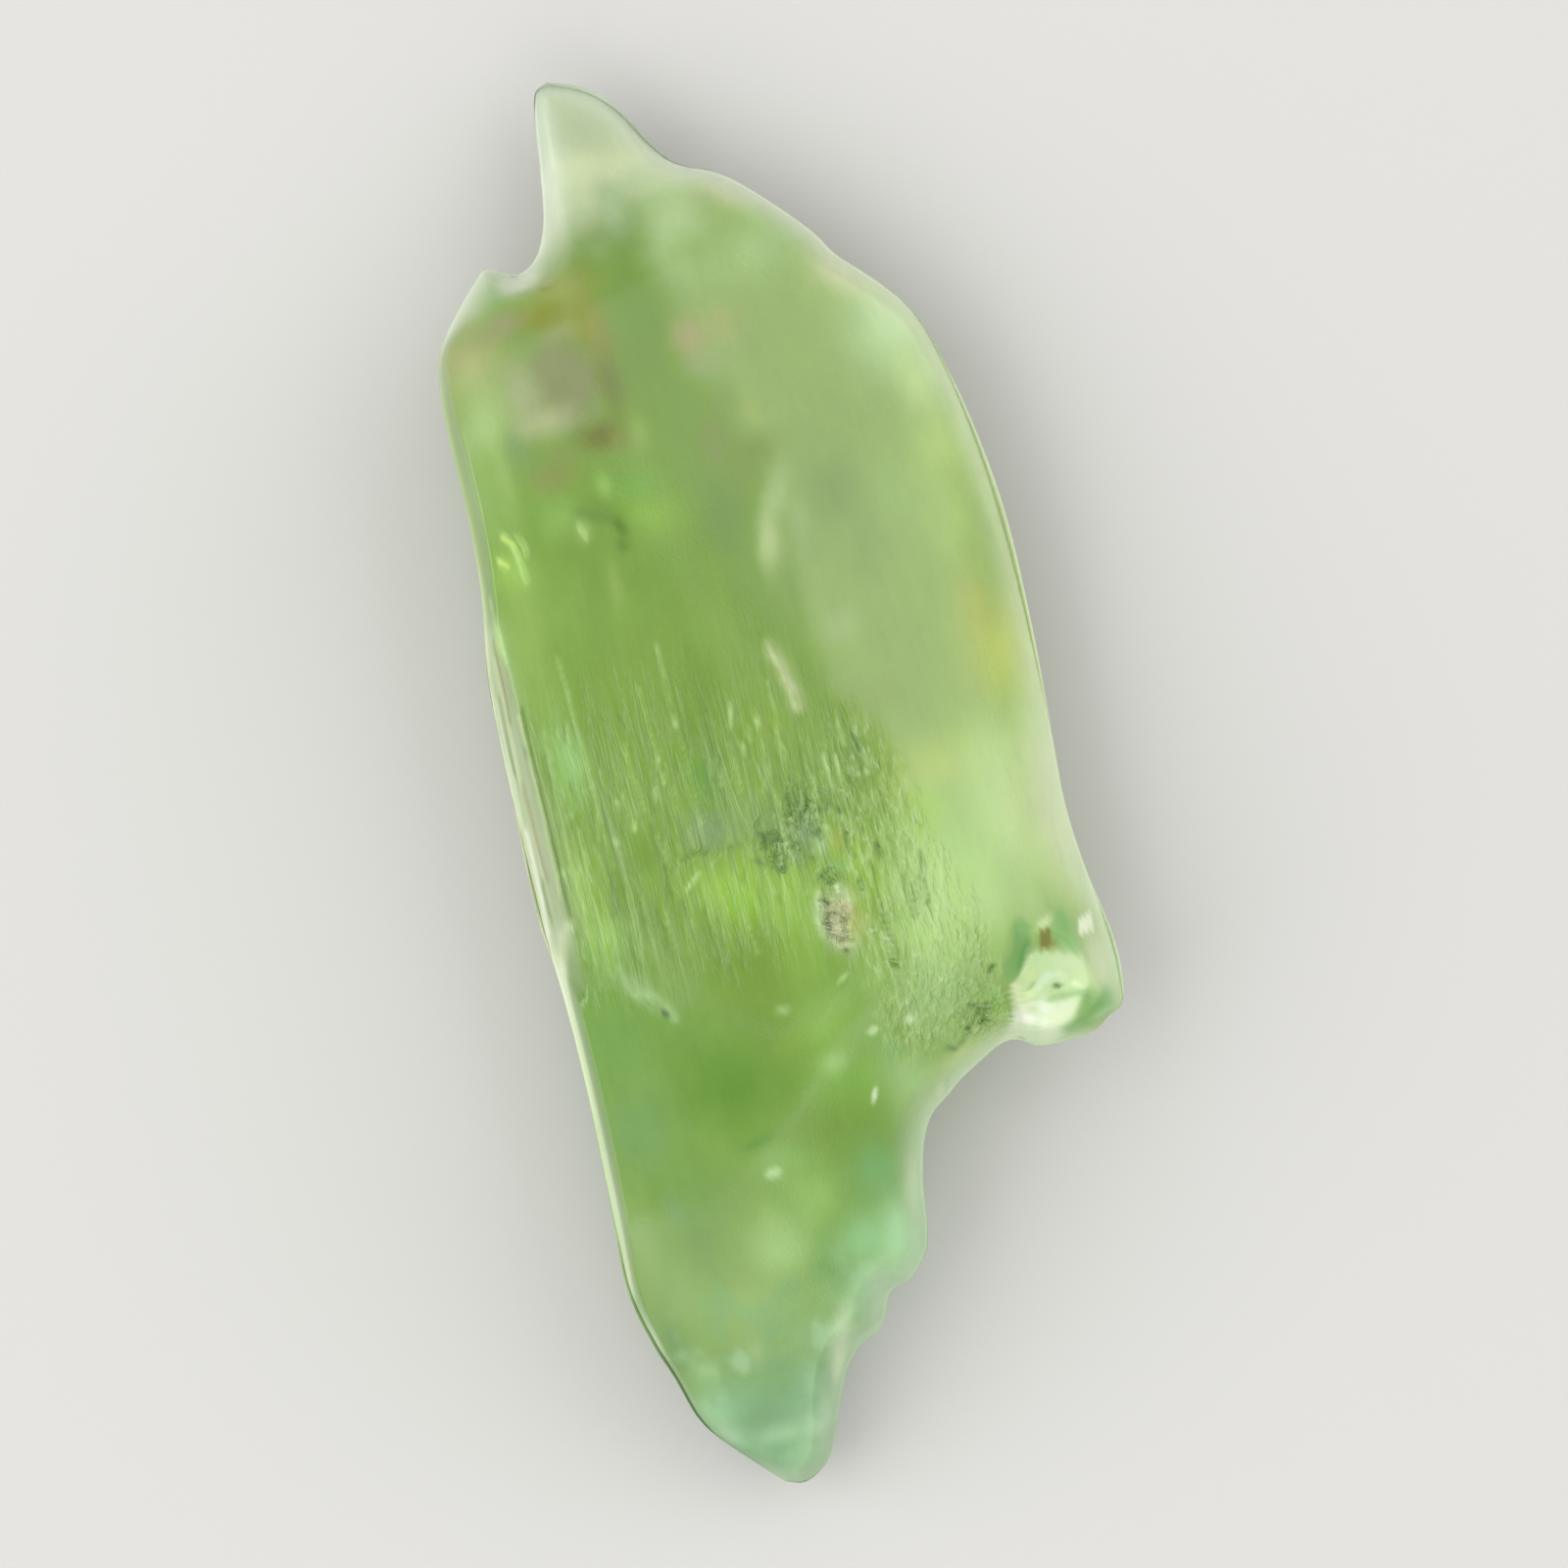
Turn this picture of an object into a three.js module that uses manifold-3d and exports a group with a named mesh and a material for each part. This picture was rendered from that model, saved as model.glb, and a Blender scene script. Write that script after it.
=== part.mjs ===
// A natural hiddenite crystal: green spodumene grown as a flattened blade, cleaved at the sides and
// etched to thin, ragged ends. It lies on its back cleavage face.
// Millimetres. +Y runs along the crystal's length (its c axis), +X across it, +Z up from the face it
// rests on. The origin is under the middle of the crystal, on that face.
import * as THREE from "three";
import { mergeVertices } from "three/addons/utils/BufferGeometryUtils.js";
import Module from "manifold-3d";

const wasm = await Module();
wasm.setup();

// ---- driving dimensions --------------------------------------------------------------------------
const FRONT_HEIGHT = 7.4; // the broad front face, above the face it rests on
const RIM_HEIGHT = 3.2; // the thin rim where front and back meet, at mid-length
const FIN_RIM_HEIGHT = 2.3; // and at the two thin tips
const TAIL_RIM_HEIGHT = 1.5;
const LOWER_SLANT = 0.72; // sections cross the blade on a slant: they drop this much for each mm towards +X
const UPPER_SLANT = 0.15; // and this much at the upper tip
const SECTION_GAP = 0.7; // widest spacing of the sections
const CLOSEST_GAP = 0.14; // sections nearer than this are left out
const RING_STEPS = 10; // steps across each side of a section, from rim to rim
const RIM_ROUND = 0.12; // how blunt the rim is
const LEFT_STEEPNESS = 4.5; // rise of the flanks for each mm in from the rim
const RIGHT_STEEPNESS = 2.4;
const REACH = 60; // cutting blocks are this large, well past the crystal
const GREEN = 0x93b765;

// The outline seen from the front, each side from the lower tip to the upper one.
const LEFT_EDGE = [
  [-4.95, -20.3], [-5.56, -19.66], [-6.52, -18.56], [-6.93, -17.85], [-7.28, -16.55], [-7.63, -15.45],
  [-7.95, -13.74], [-7.83, -11.53], [-7.68, -7.52], [-7.72, -4.41], [-7.85, -2.91], [-7.74, 0.8],
  [-7.58, 4.21], [-7.2, 6.52], [-7.04, 8.63], [-6.96, 12.24], [-6.69, 13.54], [-6.02, 14.49],
  [-5.21, 15.35], [-4.87, 15.63], [-4.55, 15.53], [-3.99, 15.25], [-3.39, 15.57], [-2.95, 16.4],
  [-2.65, 17.95], [-2.37, 19.86], [-2.2, 20.31], [-1.82, 20.46],
];
const RIGHT_EDGE = [
  [-4.95, -20.3], [-4.4, -20.46], [-3.74, -20.16], [-3.34, -19.61], [-2.68, -18.1], [-2.33, -17.45],
  [-1.92, -17], [-1.26, -16.67], [-1.01, -16.35], [-0.76, -15.8], [-0.51, -15.55], [0, -15.4],
  [0.61, -14.74], [0.81, -14.14], [1.01, -12.74], [1.36, -11.53], [1.72, -10.93], [2.33, -10.48],
  [2.73, -10.18], [3.54, -9.73], [4.04, -9.48], [4.45, -9.41], [4.77, -9.53], [5.05, -9.73],
  [5.56, -9.81], [6.82, -9.73], [7.28, -9.43], [7.74, -9.18], [7.97, -8.22], [7.97, -7.22],
  [7.68, -5.12], [7.56, -3.31], [7.68, -1.2], [7.87, 2.01], [7.91, 5.22], [7.68, 7.62],
  [7.33, 9.53], [6.93, 11.03], [6.42, 11.99], [5.56, 12.99], [5, 13.59], [4.55, 14.34],
  [3.54, 15.55], [2.53, 16.55], [1.97, 16.92], [1.52, 17.09], [1.01, 17.45], [0.63, 18],
  [0.1, 19.06], [-0.35, 19.66], [-0.91, 20.11], [-1.82, 20.46],
];

// Faces of the front side. A plane passes through at = [x, y, z] and rises by slope = [per mm of X, per mm
// of Y]. Where a face lists more than one plane, the highest of them is the surface, so they meet in inner
// corners and the face stays a local one.
const FRONT_FACES = {
  broad_face: [{ at: [-2, 0, FRONT_HEIGHT], slope: [-0.02, 0.006] }],
  left_bevel: [
    { at: [-6.82, 0, 7.35], slope: [4.4, 0] },
    { at: [-7.2, -3.35, 3], slope: [1.5, -2.2] },
  ],
  upper_right_bevel: [{ at: [1, 11.5, 7.35], slope: [-0.36, -0.04] }],
  lower_right_bevel: [{ at: [2.5, 0, 7.32], slope: [-0.42, -0.17] }],
  right_flank: [{ at: [7, 3, 5.1], slope: [-1.9, 0] }],
  upper_end: [{ at: [4.1, 12.6, 5.6], slope: [-0.75, -0.85] }],
  fin: [
    { at: [-1.5, 14.6, 7], slope: [0.1, -1.7] },
    { at: [-1.5, 17, 3.2], slope: [-0.1, -0.16] },
  ],
  left_shoulder: [
    { at: [-4.6, 13.6, 6.4], slope: [0.5, -0.95] },
    { at: [-3.4, 14, 6.3], slope: [1.8, 0] },
  ],
  tail_end: [{ at: [-4.6, -16, 5], slope: [0, 0.68] }],
  broken_corner: [
    { at: [-0.7, -12.5, 5.9], slope: [-0.85, 0.3] },
    { at: [3.1, -9.6, 4.6], slope: [-0.8, 1.4] },
    { at: [4.4, -9, 4.2], slope: [2.2, 0] },
  ],
  window: [
    { at: [5.9, -8.3, 4.75], slope: [-0.05, 0.35] },
    { at: [5.9, -7, 5.1], slope: [0.15, 1.6] },
    { at: [4.7, -8, 4.9], slope: [-2.4, 0.25] },
  ],
};

// Faces of the back side, in the same form; here the lowest of a face's planes is the surface.
const BACK_FACES = {
  rest_face: [{ at: [0, 0, 0], slope: [0, 0] }],
  left_under: [{ at: [-5.5, 0, 0], slope: [-1.3, 0.01] }],
  right_under: [{ at: [5, 0, 0], slope: [1, 0.02] }],
  fin_under: [{ at: [-1.5, 12.8, 0], slope: [0.02, 0.26] }],
  upper_right_under: [{ at: [3.6, 11.4, 0], slope: [0.45, 0.46] }],
  tail_under: [{ at: [-4.5, -15.5, 0], slope: [0.03, -0.2] }],
  broken_corner_under: [
    { at: [-0.9, -12.5, 0], slope: [0.8, -0.2] },
    { at: [2.6, -9, 0], slope: [0.6, -1.05] },
    { at: [4.6, -9, 1.5], slope: [-1.2, 0] },
  ],
  window_under: [
    { at: [5.2, -7.4, 0], slope: [0.35, -0.75] },
    { at: [3.4, -9.5, 0], slope: [1.2, -0.3] },
  ],
};

// Growth steps on the front: inside each outline the surface drops to the plane.
const STEPS = {
  tail: {
    outline: [
      [-9, -4.2], [-7, -4.5], [-5.7, -5], [-4.8, -6.2], [-3.4, -6.6], [-2, -7.7],
      [0.6, -8.1], [1.9, -9.2], [2.4, -11], [9, -24], [-9, -24],
    ],
    plane: { at: [-4, -5, 7.1], slope: [0.02, 0.12] },
  },
  basin: {
    outline: [
      [-3.9, -2.2], [-2.6, -2.05], [-1.5, -2.15], [-1.2, -2.55], [-0.6, -3], [0.35, -3.1], [0.55, -4.2],
      [0.9, -5.6], [0.5, -6.8], [-0.8, -7.4], [-2, -7.7], [-3.4, -6.6], [-4.2, -6.3], [-4.4, -4.6],
    ],
    plane: { at: [-2, -4, 7.18], slope: [0, 0.03] },
  },
};

// Pits: middle, half-sizes.
const PITS = {
  centre: { at: [0.45, -4.75, 7.3], size: [0.55, 1, 0.5] },
  hatch_left: { at: [-0.55, -1.9, 7.4], size: [0.35, 0.7, 0.22] },
  hatch_right: { at: [0.35, -1.5, 7.4], size: [0.45, 0.9, 0.2] },
  window_floor: { at: [6.05, -8.15, 4.75], size: [0.22, 0.3, 0.3] },
  gash: { at: [-3.2, 7.6, 7.45], size: [0.2, 0.65, 0.22] },
};
// Striations run along the crystal: the place of the first, their spacing, and their reach along Y.
const STRIATIONS = {
  upper: { count: 34, from: [-6.5, 1.8], pitch: 0.28, reach: 4.4, plane: FRONT_FACES.broad_face[0] },
  basin: { count: 13, from: [-3.9, -4.7], pitch: 0.34, reach: 1.4, plane: STEPS.basin.plane },
};
const STRIATION = { width: 0.1, depth: 0.1 };
const ETCH_MARKS = { count: 64, width: 0.15, depth: 0.15 };

// ---- solids --------------------------------------------------------------------------------------
function solidOf(geometry) {
  const bare = geometry.clone();
  bare.deleteAttribute("normal");
  bare.deleteAttribute("uv");
  const merged = mergeVertices(bare, 1e-4);
  return new wasm.Manifold(
    new wasm.Mesh({
      numProp: 3,
      vertProperties: merged.attributes.position.array,
      triVerts: new Uint32Array(merged.index.array),
    }),
  );
}

function geometryOf(solid) {
  const mesh = solid.getMesh();
  const geometry = new THREE.BufferGeometry();
  geometry.setAttribute("position", new THREE.BufferAttribute(mesh.vertProperties, 3));
  geometry.setIndex(new THREE.BufferAttribute(mesh.triVerts, 1));
  return geometry;
}

// ---- the blank: thin-rimmed slanted sections carried from tip to tip ------------------------------
// A section is known by its level, the y at which it crosses x = 0. It drops by slantAt(level) for each
// mm of X.
function slantAt(level) {
  return THREE.MathUtils.lerp(LOWER_SLANT, UPPER_SLANT, THREE.MathUtils.smoothstep(level, 11, 17.5));
}

const heightOver = ([x, y], level) => y - level + slantAt(level) * x;

function levelOf(point) {
  let low = -30;
  let high = 30;
  for (let i = 0; i < 40; i++) {
    const middle = (low + high) / 2;
    if (heightOver(point, middle) > 0) low = middle;
    else high = middle;
  }
  return low;
}

// One side of the outline as a smooth curve of close points.
function edgeOf(points) {
  const curve = new THREE.CatmullRomCurve3(
    points.map(([x, y]) => new THREE.Vector3(x, y, 0)),
    false,
    "centripetal",
  );
  return curve.getPoints(points.length * 12).map((p) => [p.x, p.y]);
}

// Where a section crosses one side of the outline.
function crossing(edge, level) {
  const next = edge.findIndex((point) => heightOver(point, level) >= 0);
  const before = heightOver(edge[next - 1], level);
  const after = heightOver(edge[next], level);
  return THREE.MathUtils.lerp(edge[next - 1][0], edge[next][0], before / (before - after));
}

// A section through every point of the outline, with more in the long gaps.
function sectionLevels() {
  const own = [...LEFT_EDGE, ...RIGHT_EDGE].map(levelOf).sort((a, b) => a - b);
  const last = own.at(-1);
  const kept = [own[0]];
  for (const level of own) {
    const before = kept.at(-1);
    if (level - before < CLOSEST_GAP) continue;
    const parts = Math.ceil((level - before) / SECTION_GAP);
    for (let i = 1; i <= parts; i++) kept.push(before + ((level - before) * i) / parts);
  }
  return kept.slice(1).filter((level) => last - level > CLOSEST_GAP / 2);
}

// Height of the rim line, which drops to the thin ends.
function rimHeight(y) {
  const upper = THREE.MathUtils.smoothstep(y, 11, 20);
  const lower = THREE.MathUtils.smoothstep(-y, 11, 20);
  return THREE.MathUtils.lerp(RIM_HEIGHT, FIN_RIM_HEIGHT, upper) - (RIM_HEIGHT - TAIL_RIM_HEIGHT) * lower;
}

// How far a flank stands above or below the rim line, a distance in from it.
const flankRise = (inward, steepness) => steepness * inward + Math.sqrt(RIM_ROUND * inward);

function blank() {
  const left = edgeOf(LEFT_EDGE);
  const right = edgeOf(RIGHT_EDGE);
  const levels = sectionLevels();
  const ring = 2 * RING_STEPS;
  const vertices = [];
  const faces = [];
  const tip = ([x, y]) => vertices.push(x, y, rimHeight(y)) / 3 - 1;
  const first = tip(LEFT_EDGE[0]);
  for (const level of levels) {
    const xl = crossing(left, level);
    const xr = crossing(right, level);
    for (let i = 0; i < ring; i++) {
      const share = (1 - Math.cos((Math.PI * i) / RING_STEPS)) / 2;
      const x = xl + (xr - xl) * share;
      const y = level - slantAt(level) * x;
      const rise = Math.min(
        flankRise((xr - xl) * share, LEFT_STEEPNESS),
        flankRise((xr - xl) * (1 - share), RIGHT_STEEPNESS),
      );
      vertices.push(x, y, rimHeight(y) + (i <= RING_STEPS ? rise : -rise));
    }
  }
  const last = tip(LEFT_EDGE.at(-1));
  const at = (row, i) => 1 + row * ring + (i % ring);
  const end = levels.length - 1;
  for (let i = 0; i < ring; i++) {
    faces.push(first, at(0, i + 1), at(0, i));
    for (let row = 0; row < end; row++) {
      faces.push(at(row, i), at(row + 1, i + 1), at(row + 1, i));
      faces.push(at(row, i), at(row, i + 1), at(row + 1, i + 1));
    }
    faces.push(last, at(end, i), at(end, i + 1));
  }
  const geometry = new THREE.BufferGeometry();
  geometry.setAttribute("position", new THREE.Float32BufferAttribute(vertices, 3));
  geometry.setIndex(faces);
  return solidOf(geometry);
}

// ---- flat faces ----------------------------------------------------------------------------------
// A block whose face lies on the plane, with all of it above (side 1) or below (side -1).
function blockBeyond({ at, slope }, side) {
  const normal = new THREE.Vector3(-slope[0], -slope[1], 1).normalize().multiplyScalar(side);
  const box = new THREE.BoxGeometry(REACH * 2, REACH * 2, REACH);
  box.translate(0, 0, REACH / 2);
  const turn = new THREE.Quaternion().setFromUnitVectors(new THREE.Vector3(0, 0, 1), normal);
  box.applyQuaternion(turn);
  box.translate(...at);
  return solidOf(box);
}

function cutFaces(solid, faces, side) {
  return Object.values(faces).reduce((body, planes) => {
    const blocks = planes.map((plane) => blockBeyond(plane, side));
    return body.subtract(blocks.reduce((common, block) => common.intersect(block)));
  }, solid);
}

// ---- steps, pits and striations --------------------------------------------------------------------
function cutSteps(solid) {
  return Object.values(STEPS).reduce((body, { outline, plane }) => {
    const shape = new THREE.Shape(outline.map(([x, y]) => new THREE.Vector2(x, y)));
    const column = solidOf(new THREE.ExtrudeGeometry(shape, { depth: REACH, bevelEnabled: false }));
    return body.subtract(blockBeyond(plane, 1).intersect(column));
  }, solid);
}

function pitOf({ at, size }) {
  const stone = new THREE.IcosahedronGeometry(1, 0);
  stone.rotateX(0.4);
  stone.rotateZ(0.7);
  stone.scale(...size);
  stone.translate(...at);
  return solidOf(stone);
}

// A groove that tapers to nothing at both ends.
function grooveOf(x, y, z, width, length, depth) {
  const groove = new THREE.OctahedronGeometry(1, 0);
  groove.scale(width, length, depth);
  groove.translate(x, y, z);
  return solidOf(groove);
}

// A number between 0 and 1 that has no pattern the eye can follow, the same each time for the same i.
function scatter(i, kind) {
  const far = Math.abs(Math.sin(i * 12.9898 + kind * 78.233) * 43758.5453);
  return far - Math.floor(far);
}

function heightOn({ at, slope }, x, y) {
  return at[2] + slope[0] * (x - at[0]) + slope[1] * (y - at[1]);
}

function striations({ count, from, pitch, reach, plane }) {
  return Array.from({ length: count }, (_, i) => {
    const x = from[0] + pitch * (i + 0.5 * scatter(i, 1));
    const y = from[1] + 0.7 * reach * (scatter(i, 2) - 0.5);
    const length = reach * (0.45 + 0.55 * scatter(i, 3));
    const depth = STRIATION.depth * (0.5 + scatter(i, 4));
    return grooveOf(x, y, heightOn(plane, x, y), STRIATION.width, length, depth);
  });
}

// The rough zone beside the ridge, running down to the broken corner.
function etchMarks() {
  const planes = [FRONT_FACES.broad_face[0], FRONT_FACES.lower_right_bevel[0]];
  return Array.from({ length: ETCH_MARKS.count }, (_, i) => {
    const down = scatter(i, 5);
    const x = 1.1 + 1.9 * down + 2.1 * (scatter(i, 6) - 0.3);
    const y = -1.2 - 7.4 * down;
    const z = Math.min(...planes.map((plane) => heightOn(plane, x, y)));
    return grooveOf(x, y, z, ETCH_MARKS.width, 0.35 + 0.4 * scatter(i, 7), ETCH_MARKS.depth);
  });
}

// ---- the crystal ---------------------------------------------------------------------------------
let crystal = cutFaces(blank(), FRONT_FACES, 1);
crystal = cutFaces(crystal, BACK_FACES, -1);
crystal = cutSteps(crystal);
const marks = [
  ...Object.values(PITS).map(pitOf),
  ...Object.values(STRIATIONS).flatMap(striations),
  ...etchMarks(),
];
crystal = crystal.subtract(wasm.Manifold.union(marks));

const geometry = geometryOf(crystal);
geometry.computeBoundingBox();
const middle = geometry.boundingBox.getCenter(new THREE.Vector3());
geometry.translate(-middle.x, -middle.y, 0);

const hiddenite = new THREE.MeshStandardMaterial({ color: GREEN, roughness: 0.35, metalness: 0 });
const mesh = new THREE.Mesh(geometry, hiddenite);
mesh.name = "hiddenite_crystal";

const specimen = new THREE.Group();
specimen.add(mesh);
export default specimen;
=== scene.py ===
"""A natural hiddenite crystal, the green gem variety of spodumene, lying on its back cleavage face.

The crystal is one closed surface. Slanted sections are carried from the lower tip to the upper one, and
each section's front and back heights come from flat faces, growth steps, pits, striations and a blunt
rim. Lengths in the classes below are in millimetres, and the finished mesh is in metres.
"""

import logging
import math
from dataclasses import dataclass, field
from enum import Enum
from functools import reduce

import bpy
import numpy as np
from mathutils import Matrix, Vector

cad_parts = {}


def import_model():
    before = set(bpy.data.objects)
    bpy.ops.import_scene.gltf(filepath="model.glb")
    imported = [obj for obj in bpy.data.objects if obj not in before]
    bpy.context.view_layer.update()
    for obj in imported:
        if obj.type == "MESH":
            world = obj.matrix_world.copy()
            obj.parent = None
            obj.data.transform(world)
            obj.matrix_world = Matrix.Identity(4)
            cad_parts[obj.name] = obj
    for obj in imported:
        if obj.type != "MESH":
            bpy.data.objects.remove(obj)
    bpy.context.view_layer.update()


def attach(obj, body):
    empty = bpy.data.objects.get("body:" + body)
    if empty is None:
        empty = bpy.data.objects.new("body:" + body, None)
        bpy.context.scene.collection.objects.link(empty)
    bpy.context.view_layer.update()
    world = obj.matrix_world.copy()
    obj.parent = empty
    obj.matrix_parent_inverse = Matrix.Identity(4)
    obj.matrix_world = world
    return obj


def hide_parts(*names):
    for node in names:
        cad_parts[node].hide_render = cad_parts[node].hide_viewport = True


MM = 0.001
CRYSTAL_NODE = "hiddenite_crystal"
LOG = logging.getLogger("hiddenite")

Array = np.ndarray
Point = tuple[float, float]


# ---- small tools -----------------------------------------------------------------------------------
def linear(colour: str) -> tuple[float, float, float, float]:
    """Turns an sRGB hex colour to linear.

    Args:
        colour: six hex digits, such as "84a552".

    Returns:
        Linear red, green and blue, and an alpha of 1.
    """
    parts = (int(colour[i : i + 2], 16) / 255 for i in (0, 2, 4))
    red, green, blue = (c / 12.92 if c <= 0.04045 else ((c + 0.055) / 1.055) ** 2.4 for c in parts)
    return red, green, blue, 1.0


def add_node(
    tree: bpy.types.NodeTree,
    kind: str,
    settings: dict[str, object] | None = None,
    inputs: dict[str | int, object] | None = None,
) -> bpy.types.Node:
    """Adds a shader node.

    Args:
        tree: the material's node tree.
        kind: the node's type, without its leading "ShaderNode".
        settings: the node's own properties by name.
        inputs: a value or another node's output socket for each input, by name or number.

    Returns:
        The new node.
    """
    node = tree.nodes.new("ShaderNode" + kind)
    for name, value in (settings or {}).items():
        setattr(node, name, value)
    for key, value in (inputs or {}).items():
        if isinstance(value, bpy.types.NodeSocket):
            tree.links.new(value, node.inputs[key])
        else:
            node.inputs[key].default_value = value
    return node


def smoothstep(value: Array, low: float, high: float) -> Array:
    """0 below low, 1 above high, and the curve 3t2 - 2t3 between them.

    Args:
        value: any numbers.
        low: where the rise starts.
        high: where the rise ends, which may be below low for a fall.

    Returns:
        The risen values, shaped as value.
    """
    t = np.clip((value - low) / (high - low), 0.0, 1.0)
    return t * t * (3.0 - 2.0 * t)


def soft_min(a: Array, b: Array, blend: float) -> Array:
    """The lower of two heights, with the corner between them rounded over blend millimetres.

    Args:
        a: heights.
        b: other heights at the same places.
        blend: how far apart the heights are where the rounding starts.

    Returns:
        min(a, b) less h2 * blend / 4, where h falls from 1 at a = b to 0 where they are blend apart.
    """
    h = np.clip(1.0 - np.abs(a - b) / blend, 0.0, 1.0)
    return np.minimum(a, b) - h * h * blend / 4.0


class Noise:
    """Smooth random fields of one and two dimensions, the same each run."""

    SIZE = 256

    def __init__(self, seed: int) -> None:
        """Draws the table of random heights.

        Args:
            seed: picks the table.
        """
        self.table = np.random.default_rng(seed).uniform(-1.0, 1.0, (self.SIZE, self.SIZE))

    def at(self, x: Array, y: Array) -> Array:
        """Smoothstep interpolation of the table's four values round each point.

        Args:
            x: first coordinate, in table steps.
            y: second coordinate, in table steps.

        Returns:
            Values from -1 to 1.
        """
        left, low = np.floor(x).astype(int), np.floor(y).astype(int)
        tx, ty = smoothstep(x - left, 0, 1), smoothstep(y - low, 0, 1)
        i, j = left % self.SIZE, low % self.SIZE
        i1, j1 = (i + 1) % self.SIZE, (j + 1) % self.SIZE
        table = self.table
        bottom = table[i, j] * (1 - tx) + table[i1, j] * tx
        top = table[i, j1] * (1 - tx) + table[i1, j1] * tx
        return bottom * (1 - ty) + top * ty

    def layered(self, x: Array, y: Array, layers: int = 3) -> Array:
        """Sum of layers, each twice as fine and half as high as the one before, kept within -1 to 1.

        Args:
            x: first coordinate, in steps of the coarsest layer.
            y: second coordinate.
            layers: how many layers.

        Returns:
            Values from -1 to 1.
        """
        parts = (self.at(x * 2**k + 17.3 * k, y * 2**k + 9.1 * k) / 2**k for k in range(layers))
        return sum(parts) / (2.0 - 2.0 ** (1 - layers))


def follow(line: tuple[Point, ...], at: Array) -> Array:
    """The value, at each place, of a line of straight stretches through (place, value) stops."""
    places, values = zip(*line)
    return np.interp(at, places, values)


# ---- the outline -----------------------------------------------------------------------------------
def smooth_curve(points: tuple[Point, ...], steps: int = 14) -> Array:
    """A centripetal Catmull-Rom curve through given points.

    Between points 1 and 2 of any four in a row, the curve is two rounds of straight-line blends of the
    four points, each weighted by how far the parameter, the square root of chord length, has gone.

    Args:
        points: the curve's points, in order.
        steps: steps between each two points.

    Returns:
        The curve's points as an array of x, y rows.
    """
    p = np.array(points, float)
    p = np.vstack([2 * p[0] - p[1], p, 2 * p[-1] - p[-2]])
    chords = np.linalg.norm(np.diff(p, axis=0), axis=1)
    knots = np.concatenate([[0.0], np.cumsum(np.sqrt(chords))])
    inner = np.linspace(knots[1:-2], knots[2:-1], steps, endpoint=False).T.ravel()
    t = np.append(inner, knots[-2])
    i = np.clip(np.searchsorted(knots, t, side="right") - 1, 1, len(p) - 3)
    q = [p[i + k] for k in (-1, 0, 1, 2)]
    s = [knots[i + k] for k in (-1, 0, 1, 2)]

    def between(a: Array, b: Array, sa: Array, sb: Array) -> Array:
        """Straight-line blend from a at sa to b at sb, taken at t."""
        w = ((t - sa) / (sb - sa))[:, None]
        return a * (1 - w) + b * w

    first = [between(q[k], q[k + 1], s[k], s[k + 1]) for k in range(3)]
    second = [between(first[k], first[k + 1], s[k], s[k + 2]) for k in range(2)]
    return between(second[0], second[1], s[1], s[2])


def distance_to(path: Array, x: Array, y: Array, chunk: int = 4000) -> Array:
    """Distance from each point to the nearest place on a path of straight stretches.

    Args:
        path: the path's corners as x, y rows.
        x: the points' x.
        y: the points' y, shaped as x.
        chunk: how many points are taken at once, to bound the memory used.

    Returns:
        Distances, shaped as x.
    """
    start, along = path[:-1], np.diff(path, axis=0)
    squared = np.maximum((along**2).sum(1), 1e-12)
    places = np.stack([x.ravel(), y.ravel()], 1)
    parts = []
    for some in np.array_split(places, max(1, len(places) // chunk)):
        away = some[:, None, :] - start[None]
        share = np.clip((away * along).sum(2) / squared, 0.0, 1.0)
        parts.append(np.sqrt(((away - share[..., None] * along) ** 2).sum(2).min(1)))
    return np.concatenate(parts).reshape(x.shape)


def near(path: Array, x: Array, y: Array, margin: float) -> Array:
    """Which points are in the box round a path, widened by a margin on every side.

    Args:
        path: the path's corners as x, y rows.
        x: the points' x.
        y: the points' y, shaped as x.
        margin: how far past the path the box reaches.

    Returns:
        True or False for each point, shaped as x.
    """
    (x0, y0), (x1, y1) = path.min(0) - margin, path.max(0) + margin
    return (x > x0) & (x < x1) & (y > y0) & (y < y1)


def inside(path: Array, x: Array, y: Array) -> Array:
    """Which points are inside a closed path: a ray along +X from them crosses it an odd number of times.

    Args:
        path: corners as x, y rows, the last equal to the first.
        x: the points' x.
        y: the points' y, shaped as x.

    Returns:
        True or False for each point, shaped as x.
    """
    px, py = x.ravel()[:, None], y.ravel()[:, None]
    (x0, y0), (x1, y1) = path[:-1].T, path[1:].T
    spans = (y0 > py) != (y1 > py)
    rise = np.where(y1 == y0, 1.0, y1 - y0)
    crossing = x0 + (x1 - x0) * (py - y0) / rise
    return ((spans & (px < crossing)).sum(1) % 2 == 1).reshape(x.shape)


def depth_in(corners: tuple[Point, ...], x: Array, y: Array) -> Array:
    """Signed distance to the edge of a closed path, above 0 inside it.

    Args:
        corners: the path's corners, in order.
        x: the points' x.
        y: the points' y, shaped as x.

    Returns:
        Distances, shaped as x.
    """
    ring = np.array(corners + corners[:1], float)
    return np.where(inside(ring, x, y), 1, -1) * distance_to(ring, x, y)


# ---- the parts of the form --------------------------------------------------------------------------
@dataclass(frozen=True)
class Plane:
    """A flat plane through a point, rising by slope for each millimetre of x and of y."""

    at: tuple[float, float, float]
    slope: Point

    def height(self, x: Array, y: Array) -> Array:
        """z = at.z + slope.x * (x - at.x) + slope.y * (y - at.y)."""
        return self.at[2] + self.slope[0] * (x - self.at[0]) + self.slope[1] * (y - self.at[1])


class Side(Enum):
    """A side of the crystal, and the sign that its outward direction has along z."""

    FRONT = 1
    BACK = -1


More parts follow.
